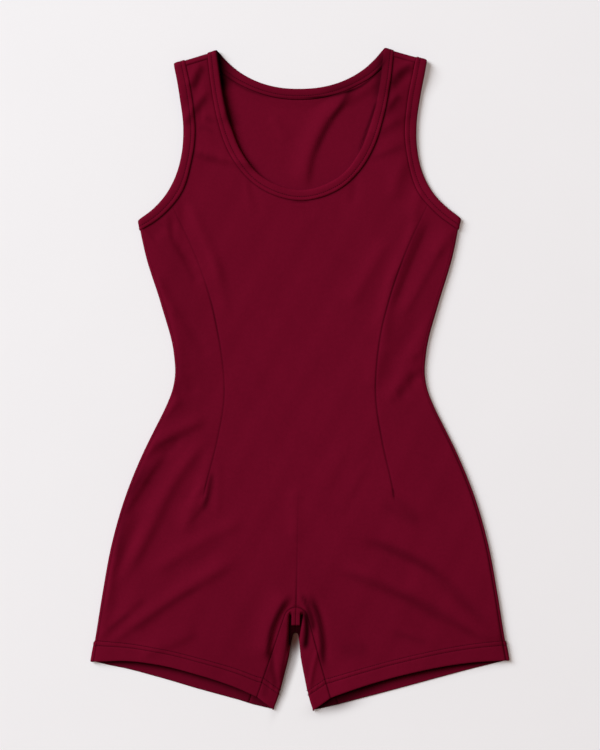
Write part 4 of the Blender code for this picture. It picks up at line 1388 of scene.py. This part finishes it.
def floor_finish(name, colour):
    """Matte pale paper with the faintest mottling, painted shadows between the legs and under a hem, and
    painted light that it gives off itself.
    """
    made = Finish(name, roughness=0.95, specular_ior_level=0.1, emission_strength=FLOOR_PAINTED_LIGHT)
    where = made.places()
    cloud = made.noise(where, FLOOR_CLOUDS, detail=4.0, roughness=0.6)
    fine = made.noise(where, FLOOR_GRAIN)
    paper = made.mixed(cloud * 0.7 + fine * 0.3, shade(colour, 0.975), shade(colour, 1.02))
    x, y = made.across_and_up(where)
    lit = 1.0
    for middle_x, middle_y, length, width, turn, share, sharpness in FLOOR_PAINTED_SHADOWS:
        right, up = x - middle_x, y - middle_y
        cosine, sine = math.cos(math.radians(turn)), math.sin(math.radians(turn))
        off = ((right * cosine + up * sine) / length) ** 2 + ((up * cosine - right * sine) / width) ** 2
        lit = (1 - made.maths("EXPONENT", off**sharpness * -1) * share) * lit
    tone = made.mixed(1 - lit, paper, FLOOR_PAINTED_SHADOW_TONE)
    # Painted light: the floor gives off part of its brightness itself, in the painted shadows' tone where
    # they lie
    made.feed("Base Color", made.mixed(FLOOR_PAINTED_LIGHT, tone, (0.0, 0.0, 0.0, 1.0)))
    made.feed("Emission Color", made.mixed(1 - lit, FLOOR_PAINTED_LIGHT_TONE, FLOOR_PAINTED_SHADOW_TONE))
    made.feed("Normal", made.bumped(fine, strength=0.2, distance=0.0001))
    return made.material


# ------------------------------------------------------------------------------------------- properties


def length_property(name, default, description):
    return FloatProperty(name=name, description=description, default=default, unit="LENGTH")


def share_property(name, default, description):
    return FloatProperty(name=name, description=description, default=default, subtype="FACTOR")


def colour_property(name, default, description):
    return FloatVectorProperty(name=name, description=description, default=default, subtype="COLOR")


class ClothSizes(bpy.types.PropertyGroup):
    wall: length_property("Wall", 0.0009, "Thickness of one layer of knit")
    hem_wall: length_property("Hem wall", 0.0019, "Thickness of the turned-up hem")
    band_wall: length_property("Band wall", 0.0007, "Thickness of the bands' cloth")
    crease_share: share_property("Creases", 1.0, "Height of all creases, as a share of their own")
    seam_share: share_property("Seams", 1.0, "Depth of all seams, as a share of their own")


class StitchSizes(bpy.types.PropertyGroup):
    pitch: length_property("Pitch", 0.0026, "From one stitch to the next")
    length: length_property("Length", 0.0016, "Length of a stitch")
    thickness: length_property("Thickness", 0.0008, "Thickness of the thread")


class Tones(bpy.types.PropertyGroup):
    knit: colour_property("Knit", (0.1285, 0.0028, 0.0161), "Colour of the body's knit")
    binding: colour_property("Binding", (0.130, 0.0028, 0.0161), "Colour of the bands")
    thread: colour_property("Thread", (0.045, 0.001, 0.006), "Colour of the stitching")
    floor: colour_property("Floor", (0.867, 0.883, 0.912), "Colour of the floor")


class Studio(bpy.types.PropertyGroup):
    key_power: FloatProperty(
        name="Key", description="Power of the soft key light", default=1626.0, unit="POWER"
    )
    key_tone: colour_property("Key tone", (0.935, 0.972, 1.0), "Colour of the key light")
    key_width: length_property("Key width", 5.0, "Width of the key light")
    key_tall: length_property("Key height", 8.0, "Height of the key light")
    fill: colour_property("Fill", (0.22, 0.14, 0.095), "Colour and brightness of the room")
    lens: FloatProperty(name="Lens", description="Focal length in millimetres", default=100.0)
    camera_height: length_property("Camera height", 2.454, "Height of the camera over the floor")


# -------------------------------------------------------------------------------------------- operators


class MakeFinishes(bpy.types.Operator):
    """Makes the knit, binding, thread and floor materials"""

    bl_idname = "bodysuit.finishes"
    bl_label = "Finishes"

    def execute(self, context):
        tones = context.scene.bodysuit_tones
        knit_finish("jersey", tones.knit)
        knit_finish("band_jersey", tones.binding)
        thread_finish("stitching", tones.thread)
        floor_finish("pale_floor", tones.floor)
        return {"FINISHED"}


def make_panel(name, stitches_name, patches, nodes, flat, rests_on):
    """A hemmed piece of the body's knit, with its stitches."""
    sizes = bpy.context.scene.bodysuit_cloth
    piece = sew(name, patches, "jersey")
    thicken(piece, sizes.wall, sizes.hem_wall)
    stitches = stitched(stitches_name, hem_lines(patches))
    declare(piece, nodes, laid_area(patches), rests_on)


class MakeFront(bpy.types.Operator):
    """Makes the front, with its princess seams, centre seam, hems and creases"""

    bl_idname = "bodysuit.front"
    bl_label = "Front"

    def execute(self, context):
        patches = list(front_patches())
        make_panel("front_cloth", "front_hem_stitches", patches, ["front"], FRONT_FLAT, ["back_cloth"])
        return {"FINISHED"}


class MakeBack(bpy.types.Operator):
    """Makes the back, flat on the floor, with the sides and shoulders rolled over to the front"""

    bl_idname = "bodysuit.back"
    bl_label = "Back"

    def execute(self, context):
        nodes = ["back"] + [f"back_{part}_{name}" for part in ("side", "shoulder") for name in SIDES]
        make_panel("back_cloth", "back_hem_stitches", list(back_patches()), nodes, BACK_FLAT, [])
        return {"FINISHED"}


class MakeGussets(bpy.types.Operator):
    """Makes the two inner-leg pieces, with the tongue and slits between the legs"""

    bl_idname = "bodysuit.gussets"
    bl_label = "Gussets"

    def execute(self, context):
        for name, side in SIDES.items():
            patches = [gusset_patch(side)]
            flat = (laid_area(patches) / GUSSET_TALL * GUSSET_WIDEST, GUSSET_TALL)
            names = ("gusset_cloth_" + name, "gusset_stitches_" + name)
            make_panel(*names, patches, ["gusset_" + name], flat, ["back_cloth"])
        return {"FINISHED"}


class MakeBands(bpy.types.Operator):
    """Makes the folded bands round the neck and the armholes, each with its row of stitching"""

    bl_idname = "bodysuit.bands"
    bl_label = "Bands"

    def execute(self, context):
        left, right = (neck_rows(side) for side in SIDES.values())
        bands = [("neck", "neck_binding", left[:-1] + right[:0:-1], True)]
        for name, side in SIDES.items():
            bands.append(("arm_" + name, "armhole_binding_" + name, arm_rows(side), side > 0))
        for name, node, rows, flipped in bands:
            patch = band_patch(rows, flipped)
            piece = sew(name + "_band", [patch], "band_jersey", closed=True)
            thicken(piece, context.scene.bodysuit_cloth.band_wall)
            stitches = stitched(name + "_stitches", band_lines(patch))
            declare(piece, [node], None, ["front_cloth", "back_cloth"])
        return {"FINISHED"}


FLOOR_SIZE = 14.0
FLOOR_DROP = 0.0002  # under the cloth, so that the two don't touch
KEY_AZIMUTH = math.radians(148)
KEY_ELEVATION = math.radians(42)
KEY_DISTANCE = 11.0
LOW_FILL = (0.80, 0.79, 0.79, 1.0)  # the room's light from near the floor, up to the first of these heights
FILL_HEIGHTS = (0.06, 0.16)  # as the sine of the elevation
VIEW_CENTRE = 0.0041


class MakeStage(bpy.types.Operator):
    """Makes the pale floor, the soft key light, the room's fill and the camera straight above"""

    bl_idname = "bodysuit.stage"
    bl_label = "Stage"

    def execute(self, context):
        studio = context.scene.bodysuit_studio
        bpy.ops.mesh.primitive_plane_add(size=FLOOR_SIZE, location=(0, 0, -FLOOR_DROP))
        floor = context.active_object
        floor.name = "floor"
        bpy.ops.object.transform_apply(location=True)
        floor.data.materials.append(bpy.data.materials["pale_floor"])

        out = KEY_DISTANCE * math.cos(KEY_ELEVATION)
        height = KEY_DISTANCE * math.sin(KEY_ELEVATION)
        place_at = (out * math.cos(KEY_AZIMUTH), out * math.sin(KEY_AZIMUTH), height)
        turn = (math.pi / 2 - KEY_ELEVATION, 0, KEY_AZIMUTH + math.pi / 2)
        bpy.ops.object.light_add(type="AREA", location=place_at, rotation=turn)
        key = context.active_object
        key.data.energy = studio.key_power
        key.data.color = studio.key_tone
        key.data.shape = "RECTANGLE"
        key.data.size = studio.key_width
        key.data.size_y = studio.key_tall

        world = bpy.data.worlds.new("studio")
        context.scene.world = world
        world.use_nodes = True
        nodes, links = world.node_tree.nodes, world.node_tree.links
        direction = nodes.new("ShaderNodeTexCoord")
        split = nodes.new("ShaderNodeSeparateXYZ")
        ramp = nodes.new("ShaderNodeValToRGB")
        links.new(direction.outputs["Generated"], split.inputs["Vector"])
        links.new(split.outputs["Z"], ramp.inputs["Fac"])
        stops = ramp.color_ramp.elements
        for stop, height, light in zip(stops, FILL_HEIGHTS, (LOW_FILL, (*studio.fill, 1.0))):
            stop.position, stop.color = height, light
        links.new(ramp.outputs["Color"], nodes["Background"].inputs["Color"])

        bpy.ops.object.camera_add(location=(0, VIEW_CENTRE, studio.camera_height), rotation=(0, 0, 0))
        camera = context.active_object
        camera.data.lens = studio.lens
        context.scene.camera = camera
        context.scene.view_settings.view_transform = "Standard"
        return {"FINISHED"}


class BodysuitPanel(bpy.types.Panel):
    """Sizes, tones and pieces of the bodysuit"""

    bl_idname = "VIEW3D_PT_bodysuit"
    bl_label = "Bodysuit"
    bl_space_type = "VIEW_3D"
    bl_region_type = "UI"
    bl_category = "Bodysuit"

    def draw(self, context):
        for name in GROUPS:
            group = getattr(context.scene, name)
            for key in group.__annotations__:
                self.layout.prop(group, key)
        for step in STEPS:
            self.layout.operator(step.bl_idname)


GROUPS = {
    "bodysuit_cloth": ClothSizes,
    "bodysuit_stitches": StitchSizes,
    "bodysuit_tones": Tones,
    "bodysuit_studio": Studio,
}
STEPS = (MakeFinishes, MakeBack, MakeFront, MakeGussets, MakeBands, MakeStage)


def register():
    for group in (*GROUPS.values(), *STEPS, BodysuitPanel):
        bpy.utils.register_class(group)
    for name, group in GROUPS.items():
        setattr(bpy.types.Scene, name, PointerProperty(type=group))


def unregister():
    for name in GROUPS:
        delattr(bpy.types.Scene, name)
    for group in (BodysuitPanel, *STEPS[::-1], *GROUPS.values()):
        bpy.utils.unregister_class(group)


def main():
    register()
    bpy.ops.bodysuit.finishes()
    bpy.ops.bodysuit.back()
    bpy.ops.bodysuit.front()
    bpy.ops.bodysuit.gussets()
    bpy.ops.bodysuit.bands()
    bpy.ops.bodysuit.stage()


if __name__ == "__main__":
    main()
